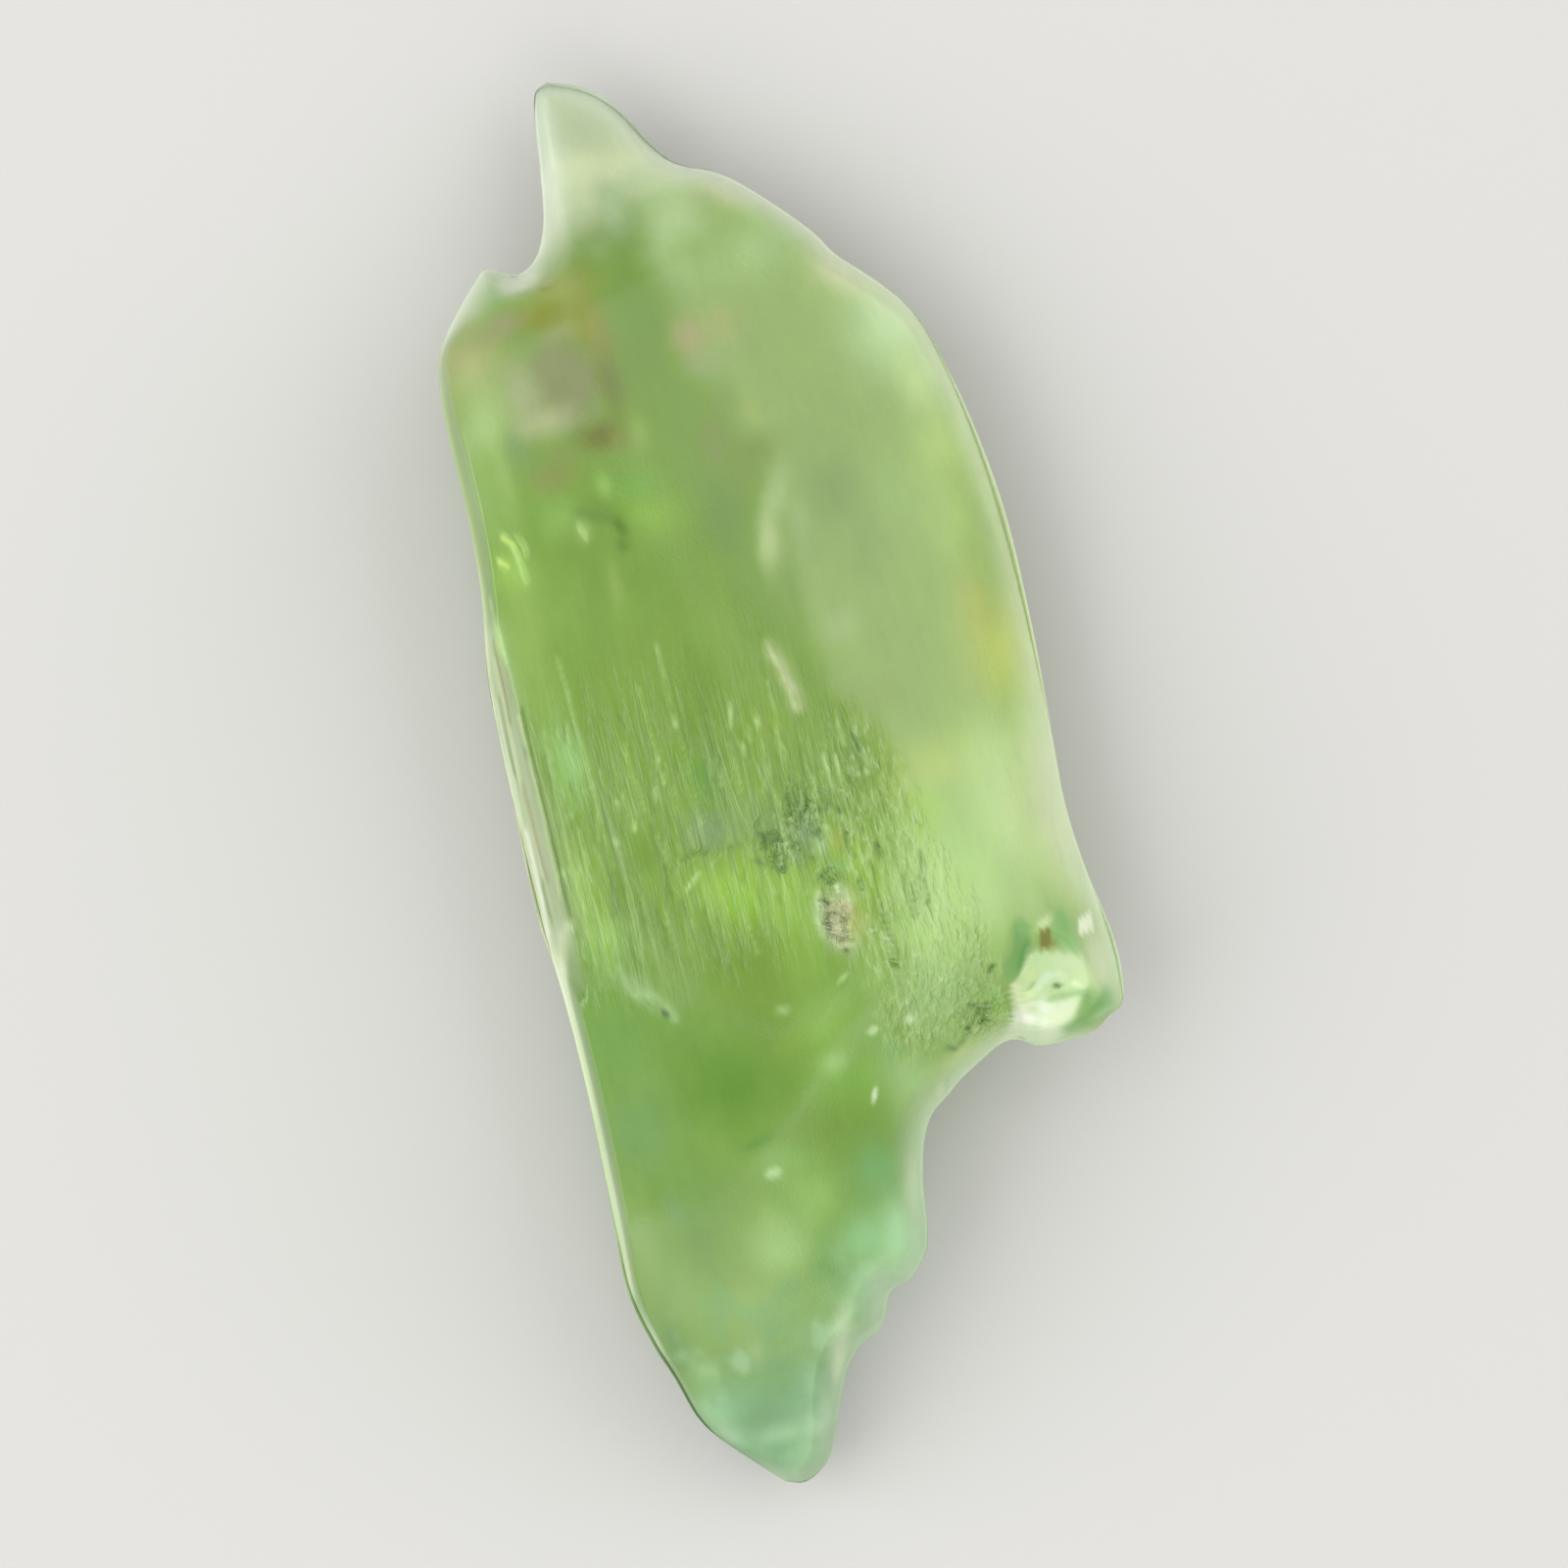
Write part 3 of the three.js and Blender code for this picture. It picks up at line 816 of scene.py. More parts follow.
    def striated(self, x: Array, y: Array) -> Array:
        """Where the front carries striations, from 0 to 1: the broad face, fading out at both ends.

        Args:
            x: places across.
            y: places along.

        Returns:
            Shares, shaped as x.
        """
        across = smoothstep(x, -6.95, -6.7) * smoothstep(x, 2.8 - 0.3 * y, 1.2 - 0.3 * y)
        along = smoothstep(y, 5.5, -2.0) * smoothstep(y, -6.8, -3.0)
        calm = Pit((-4.4, -1.7), (0.45, 0.8), 1.0, 0, 2).share(x, y)
        busy = 1 + 0.6 * Pit((-0.2, -2.0), (1.1, 1.2), 1.0).share(x, y)
        bevel = smoothstep(x, -6.8, -6.95) * smoothstep(y, 5.5, 4) * smoothstep(y, -3.3, -2.8)
        return np.clip(across * along * (1 - 0.8 * calm) * busy / 1.4 + 0.5 * bevel, 0, 1)

    def etched(self, x: Array, y: Array) -> Array:
        """Where the front is rough with etch marks, from 0 to 1: beside the ridge, above the broken corner.

        Args:
            x: places across.
            y: places along.

        Returns:
            Shares, shaped as x.
        """
        limit = follow(self.etch_limit, y)
        across = smoothstep(x, 0.5, 1.5) * smoothstep(x, limit + 0.4, limit - 0.4)
        return across * smoothstep(y, 1.8, -0.8) * smoothstep(y, -9.6, -8.4)

    def front(self, x: Array, y: Array, depth: Array) -> Array:
        """Height of the front: the lowest of its faces and the flank, less steps and pits, plus relief.

        Args:
            x: places across.
            y: places along.
            depth: distance in from the outline.

        Returns:
            Heights, shaped as x.
        """
        z = self.broad_face.height(x, y, Side.FRONT)
        for facet in self.front_facets:
            z = soft_min(z, facet.height(x, y, Side.FRONT), facet.blend)
        for step in self.steps:
            dropped = soft_min(z, step.plane.height(x, y), self.step_blend)
            z = z + step.share(x, y, self.noise) * (dropped - z)
        rough = 1 + self.pit_roughness * self.noise.layered(x * 3.1 + 40, y * 2.3)
        z = z - rough * sum(pit.depth * pit.share(x, y) for pit in self.pits)
        z = z - sum(mark.depth * mark.bell(x, y) for mark in MARKS if mark.depth)
        z = z + self.relief(x, y)
        blend = self.right_rim_blend + (self.left_rim_blend - self.right_rim_blend) * self.leftness(x, y)
        return soft_min(z, self.rim(y) + self.flank(x, y, depth), blend)

    def relief(self, x: Array, y: Array) -> Array:
        """Low relief of the front: long striations, etch marks, and the broad waviness of natural faces.

        Args:
            x: places across.
            y: places along.

        Returns:
            Heights to add, shaped as x.
        """
        bent = x + 0.3 * self.noise.at(x * 0.8 + 5, y * 0.05)
        ribs = self.noise.layered(bent * 2.3 + 80, y * 0.12 + 3, 2)
        marks = self.noise.layered(x * 2.6 + 7, y * 1.0 + 50, 3)
        waves = self.noise.layered(x * 0.22 + 31, y * 0.13 + 12, 2)
        striae = self.rib_height * ribs * self.striated(x, y)
        return striae + self.etch_height * marks * self.etched(x, y) + self.wave_height * waves

    def back(self, x: Array, y: Array, depth: Array) -> Array:
        """Height of the back: the highest of the rest face at 0, the other faces and the flank.

        Args:
            x: places across.
            y: places along.
            depth: distance in from the outline.

        Returns:
            Heights, shaped as x.
        """
        low = self.flank(x, y, depth) - self.rim(y)
        for facet in self.back_facets:
            low = soft_min(low, -facet.height(x, y, Side.BACK), facet.blend)
        wavy = self.back_wave_height * self.noise.layered(x * 0.7 + 60, y * 0.1 + 21, 2)
        raised = np.maximum(-low, 0)
        return raised + wavy * smoothstep(raised, 0.1, 0.6)


@dataclass
class CrystalColour:
    """What each place of the crystal looks like: its body colour, with painted glints, a partly painted rim
    glow and painted light and shade against the lighting, and how clouded and marked it is.
    """

    form: CrystalForm
    noise: Noise = field(default_factory=lambda: Noise(5))
    # the pale rim, partly a painted glow of light through the thin edges
    rim_glow_strength: float = 0.9
    rim_cloud: float = 0.5  # how clouded the rim is, and how far in
    rim_cloud_reach: float = 0.4
    left_rim: float = 0.2  # how far in the pale rim reaches
    right_rim: float = 0.5
    # what gloss and the clear depth add to a colour: on level faces, more on tilted and more on rough ones;
    # taking it off paints the tilted and rough faces darker, painted shade against their gloss
    glow: tuple[float, float, float] = (0.094, 0.128, 0.058)
    tilted_glow: tuple[float, float, float] = (0.030, 0.036, 0.034)
    rough_glow: tuple[float, float, float] = (0.012, 0.014, 0.036)
    gain: tuple[float, float, float] = (0.67, 0.65, 0.67)  # the share of the body colour that comes back
    cloud_light: float = 0.86  # how much more comes back where it is clouded
    right_shade: float = 0.13  # and how much less from the sloping sides, and how far in; dividing by it paints these sides lighter, painted light against their shade
    right_shade_reach: float = 1.3
    left_shade: float = 0.2
    left_shade_reach: float = 0.35
    darkest: float = 0.012
    palest: float = 0.94
    pale_wisp: str = "b6d8a8"
    dark_wisp: str = "7fae74"
    wisp_strength: float = 0.4
    wander: Point = (0.14, 0.2)  # how far the edges of zones and wide patches wander across and along
    steady_size: float = 0.3  # and the size of patches that don't
    # lines on the front: the ridge and the brow of the right side as (y, x), and the tail's knee as (x, y)
    ridge: tuple[Point, ...] = (
        (-12, 3.5), (-7, 4.9), (-5, 4.5), (0, 2.6), (4, 1.2), (7.5, 1.6), (12, 0.2), (17, 0.2),
    )
    brow: tuple[Point, ...] = ((-7, 4.5), (-5, 4.5), (0, 2), (5, -0.8), (12, -2.2))
    knee: tuple[Point, ...] = ((-7, -12), (-4.9, -11.3), (-2.9, -10.4), (-1, -9), (1, -7.9))
    knee_tilt: float = 0.35  # how tilted the front is below its knee

    left: str = "86a854"
    right: str = "9cb870"
    # the pale rim's colours along each side, partly a painted glow of light through the thin edges
    left_rim_glow_colours: tuple[tuple[float, str], ...] = (
        (-20, "6f9466"), (-14, "c6dcaa"), (-9, "bed69e"), (-5, "e0f0c4"),
        (-2, "f4fcdc"), (5, "d6e4b6"), (9, "b2c48c"), (18, "bccab0"),
    )
    right_rim_glow_colours: tuple[tuple[float, str], ...] = (
        (-20, "b4cea2"), (-14, "c8e4b6"), (-6, "e2f4c8"), (2, "e0eec2"),
        (12, "dfecc8"), (17, "e0ead0"), (20, "ccd8c0"),
    )
    bare: Pit = Pit((6.9, -9.3), (1, 0.55), 0.8)  # where the rim is less pale, and by how much
    crusts: tuple[Pit, ...] = (
        Pit((0.4, -4.8), (0.42, 0.75), 1.0, 0, 2),
        Pit((-0.75, -2.5), (0.45, 0.6), 1.0, 0, 1.5),
        Pit((0.2, -1.6), (0.6, 0.7), 1.0, -20, 1.5),
        Pit((0.55, -3.5), (0.35, 0.3), 1.0, 0, 1.5),
        Pit((3.6, -8.5), (0.5, 0.5), 1.0, 45, 1.5),
    )
    patches: tuple[Patch | Pane | Stroke, ...] = (
        # the fin and the upper end
        *soft(
            (-1.2, 19, 2, 2.4, "b2c499", 0.97, 0, 1.4, 0.35),
            (-0.8, 17.5, 1.8, 0.8, "ccd9aa", 0.9, 0, 1.2, 0.2),
            (-2.35, 17, 0.4, 1.5, "becda8", 0.85, -4, 1.2, 0.2), (-1.6, 16.5, 0.8, 0.8, "c6d6aa", 0.75),
            (0.4, 16.9, 1, 0.6, "bfd2a2", 0.8), (-0.85, 16.1, 0.4, 0.9, "b6cfa0", 0.8),
            (0.7, 15.3, 1, 1.5, "bed79f", 0.8), (-1.3, 15, 0.5, 0.6, "a3bf82", 0.6),
            (-4.75, 14.9, 0.45, 0.75, "8eb272", 0.85), (-5.5, 14.3, 0.6, 0.5, "a6bc84", 0.6),
            (-5.8, 12.8, 0.95, 1.1, "b7bc82", 0.85), (-5.75, 11.1, 0.7, 1.1, "a9c47a", 0.75),
            (-6.3, 9.2, 0.6, 1.7, "9cbb6e", 0.75), (-5.6, 9.6, 0.3, 1.2, "a5c274", 0.6),
            (-0.85, 13.2, 0.6, 2.2, "83a454", 0.85, 2), (-0.9, 10.8, 0.85, 1.3, "86a44b", 0.65),
            (-1.65, 9.7, 0.25, 0.5, "9dbb68", 0.6),
        ),
        # the stained inclusion and the pale plate in it
        *soft(
            (-2.9, 14.2, 1, 0.65, "9ca95e", 0.85, 0, 1.2, 0.1),
            (-3.3, 13.45, 0.95, 0.42, "8f9b3f", 0.9, -8, 1.2, 0.1),
            (-4.6, 13.6, 0.7, 0.4, "a7a67a", 0.65, 5), (-2.2, 12.8, 0.5, 1.2, "939e46", 0.9, 4, 1.2),
            (-2.15, 11.2, 0.45, 1, "7e8f3f", 0.85, 8, 1.2),
            (-2.75, 9.95, 0.65, 0.45, "7c843c", 0.85, 12, 1.3, 0.1), (-2.2, 9.6, 0.35, 0.3, "8d954f", 0.6),
            (-3.8, 9.7, 0.7, 0.35, "8c9f5c", 0.7), (-4.3, 9.1, 0.7, 0.4, "919a5c", 0.75),
            (-5, 10.1, 0.4, 0.6, "89a26d", 0.7), (-3.4, 11.6, 1, 1.3, "8f9b64", 0.97, 4, 2.2, 0.3),
            (-4.55, 11.5, 0.5, 1.1, "a3b07b", 0.85, 0, 1.4, 0.25),
            (-4.05, 10.6, 0.75, 0.4, "b0ba89", 0.75, 0, 1.3, 0.2), (-3, 12.95, 0.7, 0.25, "9ea565", 0.6),
            (-3.95, 14.95, 0.55, 0.45, "d8e8c2", 0.9, 0, 1.5),
        ),
        # right of the ridge
        *soft(
            (2.5, 12.3, 1.8, 1.6, "99b56e", 0.7), (2.9, 14.2, 1.1, 0.8, "b2cf92", 0.75),
            (1, 14.3, 0.7, 0.8, "95b56b", 0.6), (0.35, 12, 0.55, 0.55, "b1b37e", 0.8, 0, 1.3, 0.2),
            (1.35, 12.2, 0.5, 0.6, "abb878", 0.7, 0, 1.2, 0.1), (0.6, 11.2, 0.6, 0.4, "a4b580", 0.6),
            (1.55, 9.6, 0.3, 0.5, "a7bf6d", 0.65), (0.3, 8.9, 0.5, 0.7, "94a468", 0.6),
            (0.9, 10.1, 0.5, 0.5, "8ba65e", 0.5), (1.4, 8.6, 0.8, 0.5, "869f52", 0.75),
            (3.2, 9.4, 1.4, 1.4, "98b36d", 0.6), (3.1, 6.9, 1.3, 1.3, "8da869", 0.85),
            (3.8, 5.1, 0.7, 0.8, "92af6c", 0.7), (5, 6.3, 0.9, 1.5, "a2c077", 0.7),
            (0.9, 7.8, 0.6, 0.5, "8ba45b", 0.7), (0, 6.9, 0.6, 1, "7f9e52", 0.75),
            (5.8, 11.2, 1, 1.3, "b9d69c", 0.9), (4.9, 12.9, 0.9, 0.45, "cbd3a0", 0.75, -40),
            (2.3, 16.1, 1, 0.4, "c3ce9b", 0.75, -35), (6.3, 9.5, 0.6, 1, "bbd390", 0.75),
            (6.5, 7.6, 0.7, 1, "b3cf7c", 0.85), (6.4, 5.4, 0.8, 1.6, "afcb7a", 0.85),
            (1.65, 7.2, 0.32, 0.8, "abc486", 0.85, -20, 1.2, 0.2),
            (1.1, 5.9, 0.32, 0.9, "b9cf90", 0.9, -8, 1.2, 0.25), (2.1, 6.3, 0.35, 0.9, "a2bc7c", 0.7, -5),
            (0.7, 2.1, 0.2, 0.8, "aabd7c", 0.6), (1.4, 4.2, 0.3, 1, "87a75a", 0.6),
            (2.4, 3.2, 0.5, 0.5, "acc286", 0.65), (2.2, 1.7, 0.5, 0.5, "a0b978", 0.5),
            (6.7, 1.4, 1, 1.4, "bfd075", 0.9), (6.3, 2.8, 0.6, 0.9, "bcc674", 0.6),
            (4.1, -1.2, 1.2, 0.75, "b5c873", 0.8, 10), (6.3, -3, 1.5, 2.6, "c9e89d", 0.95, 0, 1.3),
            (3, 0.9, 1, 0.8, "98b06d", 0.5),
        ),
        # the broad face above the steps
        *soft(
            (-2.1, 8.3, 0.7, 0.4, "83b055", 0.85, 0, 1.3), (-1.9, 7.4, 0.9, 0.6, "94bb58", 0.8),
            (-2.95, 8.5, 0.22, 0.35, "9dc46a", 0.8), (-4.2, 7.9, 0.6, 0.5, "96bb66", 0.7),
            (-3.8, 7.4, 0.2, 0.3, "aecb78", 0.7), (-5.9, 6.7, 0.45, 0.6, "a6cf64", 0.7),
            (-3.3, 5.7, 0.2, 0.7, "a2bc6e", 0.7), (-6, 4.6, 0.6, 2, "9bb864", 0.75),
            (-2.6, 3.4, 3, 3.2, "86a553", 0.7), (-2, 1.6, 0.9, 1.3, "7f9f4c", 0.7),
            (-2.2, -0.1, 0.5, 0.8, "7aa548", 0.8), (-4.1, -1.7, 0.5, 0.7, "7f9f4c", 0.8, 0, 1.5),
            (-5.8, 1.2, 0.45, 1.1, "9cc67c", 0.7, 0, 1.1), (-0.2, 1, 0.4, 0.5, "8aa53f", 0.6),
            (-2.3, -1.5, 0.8, 0.55, "8ba674", 0.8, 0, 1.2, 0.1), (-1, -1.2, 0.6, 0.6, "84a763", 0.6),
            (-6.3, -2.2, 0.4, 0.9, "9dc068", 0.6),
        ),
        # the basin and the terraces
        *soft(
            (-2.3, -3.2, 1.3, 0.8, "9ac05c", 0.9, -4, 1.3), (-1.1, -3.9, 1.3, 1.2, "97bf59", 0.85),
            (-2.1, -3.6, 0.3, 0.4, "8dbd4e", 0.6), (-0.8, -5.6, 1, 1, "8db254", 0.7),
            (-2.1, -5, 0.7, 0.6, "80a04a", 0.7), (-2.4, -6.2, 1.4, 1, "82a04c", 0.8),
            (-4.4, -4.4, 0.8, 1.2, "8dae5e", 0.65), (-5.9, -3.7, 0.9, 0.7, "9dc46c", 0.8),
            (-6, -4.6, 0.5, 0.5, "8db55f", 0.6), (-5.3, -5.3, 0.3, 0.55, "9fbd80", 0.75, 35),
            (-6.3, -6.4, 1.2, 1.5, "7da457", 0.85), (-4.6, -6.9, 0.9, 0.8, "7da452", 0.7),
            (-3.5, -8.5, 1.7, 1.4, "739b45", 0.9), (-6.3, -9.2, 1, 1.4, "7fa462", 0.8),
            (-1.4, -7.8, 0.7, 0.4, "88a84c", 0.8), (-0.6, -7.5, 0.9, 0.7, "90b65a", 0.7),
            (-0.4, -9.2, 1.1, 0.9, "8cb858", 0.8), (-0.6, -8.6, 0.4, 0.3, "a2c876", 0.7),
            (1.3, -9.6, 0.8, 1, "a8ca86", 0.85),
        ),
        # the ground of the dark furrows
        *soft(
            (-0.3, -1.75, 0.4, 0.5, "96b474", 0.7), (-0.9, -1.85, 0.4, 0.5, "8cac6c", 0.6),
            (0.35, -1.75, 0.35, 0.3, "a4c48c", 0.7), (0.12, -2.2, 0.32, 0.3, "98b488", 0.85),
            (0.5, -2.6, 0.32, 0.35, "a8c890", 0.8), (-0.3, -2.75, 0.25, 0.25, "9cbc82", 0.8),
            (1, -2.7, 0.3, 0.35, "9aae58", 0.75), (0.9, -3.35, 0.35, 0.25, "92bb7c", 0.7),
        ),
        # the pink pit
        *soft(
            (0.4, -4.75, 0.45, 0.72, "bec49a", 0.95, 4, 1.6, 0.3),
            (0.75, -4.15, 0.3, 0.3, "b6c894", 0.8, 0, 1.2, 0.2), (0.85, -5.1, 0.4, 0.5, "a3a95c", 0.7),
        ),
        # the etched ground
        *soft(
            (4.7, -5.6, 0.7, 1.9, "b0d084", 0.85, -4, 1.2), (3.3, -4.8, 1.3, 3.2, "bce092", 0.8, -8, 1.3),
            (1.5, -3.4, 0.5, 0.9, "97bb52", 0.8), (3.6, -2.4, 0.6, 0.6, "abce70", 0.7),
            (2.6, -7.6, 1.4, 1.2, "a2c483", 0.8), (1.3, -6, 0.5, 0.9, "92b866", 0.6),
            (1, -8.7, 0.25, 0.4, "8fb874", 0.8), (2.9, -9.4, 0.9, 0.35, "b4cc76", 0.7, 25),
        ),
        # the lower end
        *soft(
            (-4.2, -19, 4, 2.6, "8ab47f", 0.95, 0, 1.6), (-0.6, -14.6, 2.3, 1.7, "9bc487", 0.85, 35, 1.4),
            (-3.2, -10.25, 0.5, 0.16, "6f9a4a", 0.85, 12, 1.3), (-2.6, -10.9, 0.9, 0.5, "90b968", 0.7),
            # the first patch on the next line is a painted glint
            (-3, -11.2, 0.24, 0.16, "b9dc9c", 0.9, 0, 1.5, 0.1), (-5, -11.2, 0.9, 0.9, "7da156", 0.7),
            (-5.9, -11.6, 0.35, 0.5, "85ab6c", 0.6), (-7, -12, 0.5, 1.6, "93b26a", 0.8),
            (-5.5, -12.5, 0.6, 1.1, "7d9f58", 0.7), (-2, -12.2, 1, 0.9, "a0c874", 0.8),
            (-3.3, -13.3, 0.9, 0.9, "aacc82", 0.8), (-0.15, -11.9, 0.8, 0.9, "88b672", 0.9),
            (-6.3, -14, 0.7, 1, "8fb169", 0.7), (-4.4, -14.9, 1.4, 1.1, "97b86b", 0.9),
            (-2.3, -14.2, 0.45, 0.45, "84ad65", 0.85), (-2.2, -13.5, 0.35, 0.4, "8cb46c", 0.5),
            (-1.1, -13.7, 0.55, 0.6, "9ece8c", 0.85),
            (0.2, -14.1, 0.75, 1.1, "aedaa0", 0.95, 0, 1.3, 0.15),
            (0.75, -12.9, 0.3, 1.1, "c6dda6", 0.9, -8, 1.2, 0.1),
            (-0.9, -14.8, 0.7, 0.35, "abcf96", 0.7, 20), (-1.6, -15.4, 0.5, 0.3, "a6cd94", 0.7, 10),
            (-0.9, -16, 0.5, 0.4, "c2deae", 0.85, 30), (-3.1, -16.1, 0.7, 0.5, "8fb676", 0.7),
            (-5.3, -16.3, 0.6, 0.45, "88ae6c", 0.7), (-4.75, -16.2, 0.3, 0.5, "a4c07d", 0.7),
            (-6.3, -16.4, 0.45, 0.6, "9ac180", 0.7), (-6.95, -15.4, 0.4, 0.8, "789e5c", 0.85),
            (-7.5, -15, 0.16, 0.8, "d0dfb4", 0.8, 12, 1.2), (-4.3, -17.1, 1, 0.7, "82ac68", 0.75),
            (-6.2, -17.6, 0.7, 0.5, "a5cd98", 0.85, -20), (-6.1, -18.4, 0.5, 0.3, "b0cfa2", 0.8, -40),
            (-5.2, -18.1, 0.8, 0.5, "7ea66e", 0.8), (-4, -17.9, 0.3, 0.3, "8bb680", 0.6),
            (-2.3, -16.3, 0.28, 0.9, "c4daa6", 0.9, -24, 1.2, 0.15),
            (-2.6, -17.3, 0.2, 0.8, "dcecb4", 0.9, -20, 1.2, 0.15),
            (-1.5, -16.6, 0.6, 0.16, "c6dcb4", 0.85, 25, 1.2, 0.1),
            (-3.4, -17.5, 0.4, 0.5, "a6c996", 0.8, -15),
            (-3.4, -18.6, 0.5, 0.6, "c4e4b8", 0.9, -15, 1.2, 0.15),
            (-4.6, -18.75, 0.8, 0.28, "a5ca96", 0.75), (-4.9, -19.5, 0.4, 0.45, "76a670", 0.9),
            (-3.9, -19.5, 0.6, 0.4, "9cc28c", 0.85), (-4.3, -20.1, 0.7, 0.2, "9cb88c", 0.8),
        ),
        # the left bevel and the pale rim below it, the rim partly a painted glow of light through the thin
        # edge
        Stroke(((-7.25, 5.2), (-7.2, 0), (-7.2, -3.3)), 0.5, "bacd9c", 0.9, 0, 0.1),
        Stroke(((-7.45, 3.5), (-7.6, 1.0), (-7.68, 0)), 0.12, "d0e4ba", 0.8, 0, 0.1),
        Stroke(((-7.15, 4.6), (-7.2, 3.2), (-7.25, 2.0), (-7.38, 0.8)), 0.08, "d6e6b0", 0.85, 0, 0.1),
        Stroke(((-7.5, -0.3), (-7.55, -1.5), (-7.58, -2.3), (-7.68, -3.3)), 0.1, "eefcd8", 0.95, 0, 0.3),
        Stroke(((-7.3, 3.6), (-7.36, 2.6), (-7.42, 1.4)), 0.06, "8ba26c", 0.8, 0, 0),
        Stroke(((-7.03, 5.1), (-7.05, 4.4), (-7.07, 3.6), (-7.12, 2.8)), 0.06, "8f9a5c", 0.8, 0, 0),
        Stroke(((-6.97, 4.4), (-6.98, 3.5)), 0.05, "c2be94", 0.7, 0, 0),
        Stroke(((-6.95, 3.2), (-6.96, 1.6), (-7.0, 0.4), (-7.03, -1.0),
            (-7.05, -2.4)), 0.12, "b2c496", 0.8, 0, 0),
        Stroke(((-6.8, 2.9), (-6.8, 1.0), (-6.82, 0), (-6.86, -1.2),
            (-6.9, -2.2)), 0.06, "c9de9c", 0.9, 0, 0.1),
        Stroke(((-6.68, 3.0), (-6.7, 1.5), (-6.72, 0), (-6.74, -2.8)), 0.07, "6f8c42", 0.8, 0, 0),
        Stroke(((-7.4, 0.6), (-7.38, -0.5), (-7.35, -1.6)), 0.06, "cfe2b2", 0.8, 0, 0.1),
        Stroke(((-7.24, 1.0), (-7.22, -0.4), (-7.2, -1.8)), 0.06, "a9a57c", 0.8, 0, 0),
        Stroke(((-7.42, -1.8), (-7.45, -2.8)), 0.06, "94ac78", 0.7, 0, 0),
        *soft(
            # the first patch on the next line is a painted glint along the bevel's edge
            (-6.85, 4.95, 0.13, 0.5, "bce084", 0.85), (-6.87, 1.85, 0.07, 0.2, "86a06a", 0.7),
            (-7.74, -3.3, 0.1, 0.4, "e6e6d0", 0.7), (-7.55, -4.9, 0.15, 1.1, "f2fcd6", 0.85),
        ),
        Stroke(((-7.2, -3.4), (-7.42, -4.3), (-7.53, -5.3), (-7.54, -7), (-7.64, -11),
            (-7.82, -13.8)), 0.14, "e6f3ca", 0.85, 0, 0.1),
        *soft(
            (-6.9, -3.15, 0.2, 0.13, "cfe6a8", 0.9, 0, 1.5), (-7.25, -3.75, 0.12, 0.5, "b9c486", 0.7, -10),
            (-7.2, -5.2, 0.2, 1.2, "8fae66", 0.5),
        ),
        # the broken corner: the green walls round its window, and what is in the window
        Pane((
            (5.22, -5.95), (5.5, -5.95), (5.62, -6.3), (5.55, -6.85), (5.3, -7.25), (4.95, -7.7),
            (4.62, -7.6),
            (4.62, -7.15), (5.0, -6.85), (5.12, -6.4),
        ), "90ba76", 0.95, 0.07),
        Pane(((6.36, -6.1), (6.65, -6.0), (6.85, -6.5), (7.0, -7.4), (6.6, -7.35), (6.2, -7.1),
            (6.2, -6.6)), "98c27c", 0.95, 0.08),
        Stroke(((5.5, -6.7), (5.3, -7.0), (5.1, -7.35)), 0.1, "7cae64", 0.7, 0, 0),
        Stroke(((6.6, -6.2), (6.66, -6.6)), 0.12, "8aba70", 0.6, 0, 0),
        *soft(
            (6.05, -6.3, 0.3, 0.14, "cbe5a6", 0.9, 25, 1.3, 0.1), (5.65, -6.7, 0.13, 0.22, "a9cc7c", 0.7),
        ),
        Pane(((5.8, -7.05), (5.86, -6.48), (6.16, -6.46), (6.12, -7.06)), "8e941e", 0.95, 0.05),
        *soft(
            (6.2, -6.95, 0.12, 0.14, "9c9c5c", 0.7),
        ),
        # painted highlight: a white glint, clouded so that it comes out brighter
        Pane(((6.95, -6.92), (7.05, -6.48), (7.5, -6.36), (7.42, -6.9)), "f6ffdc", 1.0, 0.06, 0.8),
        Pane((
            (4.0, -9.5), (4.3, -9.15), (4.6, -8.7), (4.72, -7.85), (5.2, -7.45), (5.6, -7.05), (6.1, -7.15),
            (6.9, -7.5), (6.95, -8.3), (6.6, -8.7), (6.3, -9.2), (5.9, -9.6), (5.5, -9.8), (4.9, -9.75),
        ), "c3dda2", 0.97, 0.05, 0.2),
        Pane((
            (4.15, -9.35), (4.45, -9.0), (4.7, -8.5), (5.15, -8.4), (5.7, -8.6), (6.5, -8.65), (6.3, -9.0),
            (5.8, -9.6), (5.4, -9.75), (4.8, -9.5),
        ), "dcedc2", 0.95, 0.05, 0.4),
        *soft(
            (5.3, -7.65, 0.3, 0.16, "cde69a", 0.8, 35, 1.3, 0.2),
            (6.45, -7.6, 0.4, 0.28, "c8dbaa", 0.8, -20, 1.3, 0.2),
            (5.75, -7.35, 0.3, 0.15, "bfdfa0", 0.8, 0, 1.3, 0.2),
            (5.75, -7.85, 0.3, 0.14, "cfe8c0", 0.85, 15, 1.3, 0.3),
            (5.2, -8.2, 0.18, 0.12, "e2f6b0", 0.9, 30, 1.3, 0.3),
            (5.5, -8.05, 0.2, 0.12, "d2efbc", 0.8, 45, 1.3, 0.3),
        ),
        Stroke(((4.83, -7.85), (4.8, -8.15), (4.8, -8.45)), 0.11, "e8fcc2", 0.95, 0, 0.3),
        Stroke(((5.12, -7.6), (5.5, -7.1)), 0.06, "d4f2b4", 0.85, 0, 0.2),
        Stroke(((5.25, -8.02), (5.42, -7.88)), 0.06, "a3bb74", 0.75, 0, 0),
        *soft(
            (4.92, -8.85, 0.32, 0.14, "fcffe6", 1, -30, 1.5, 0.4),
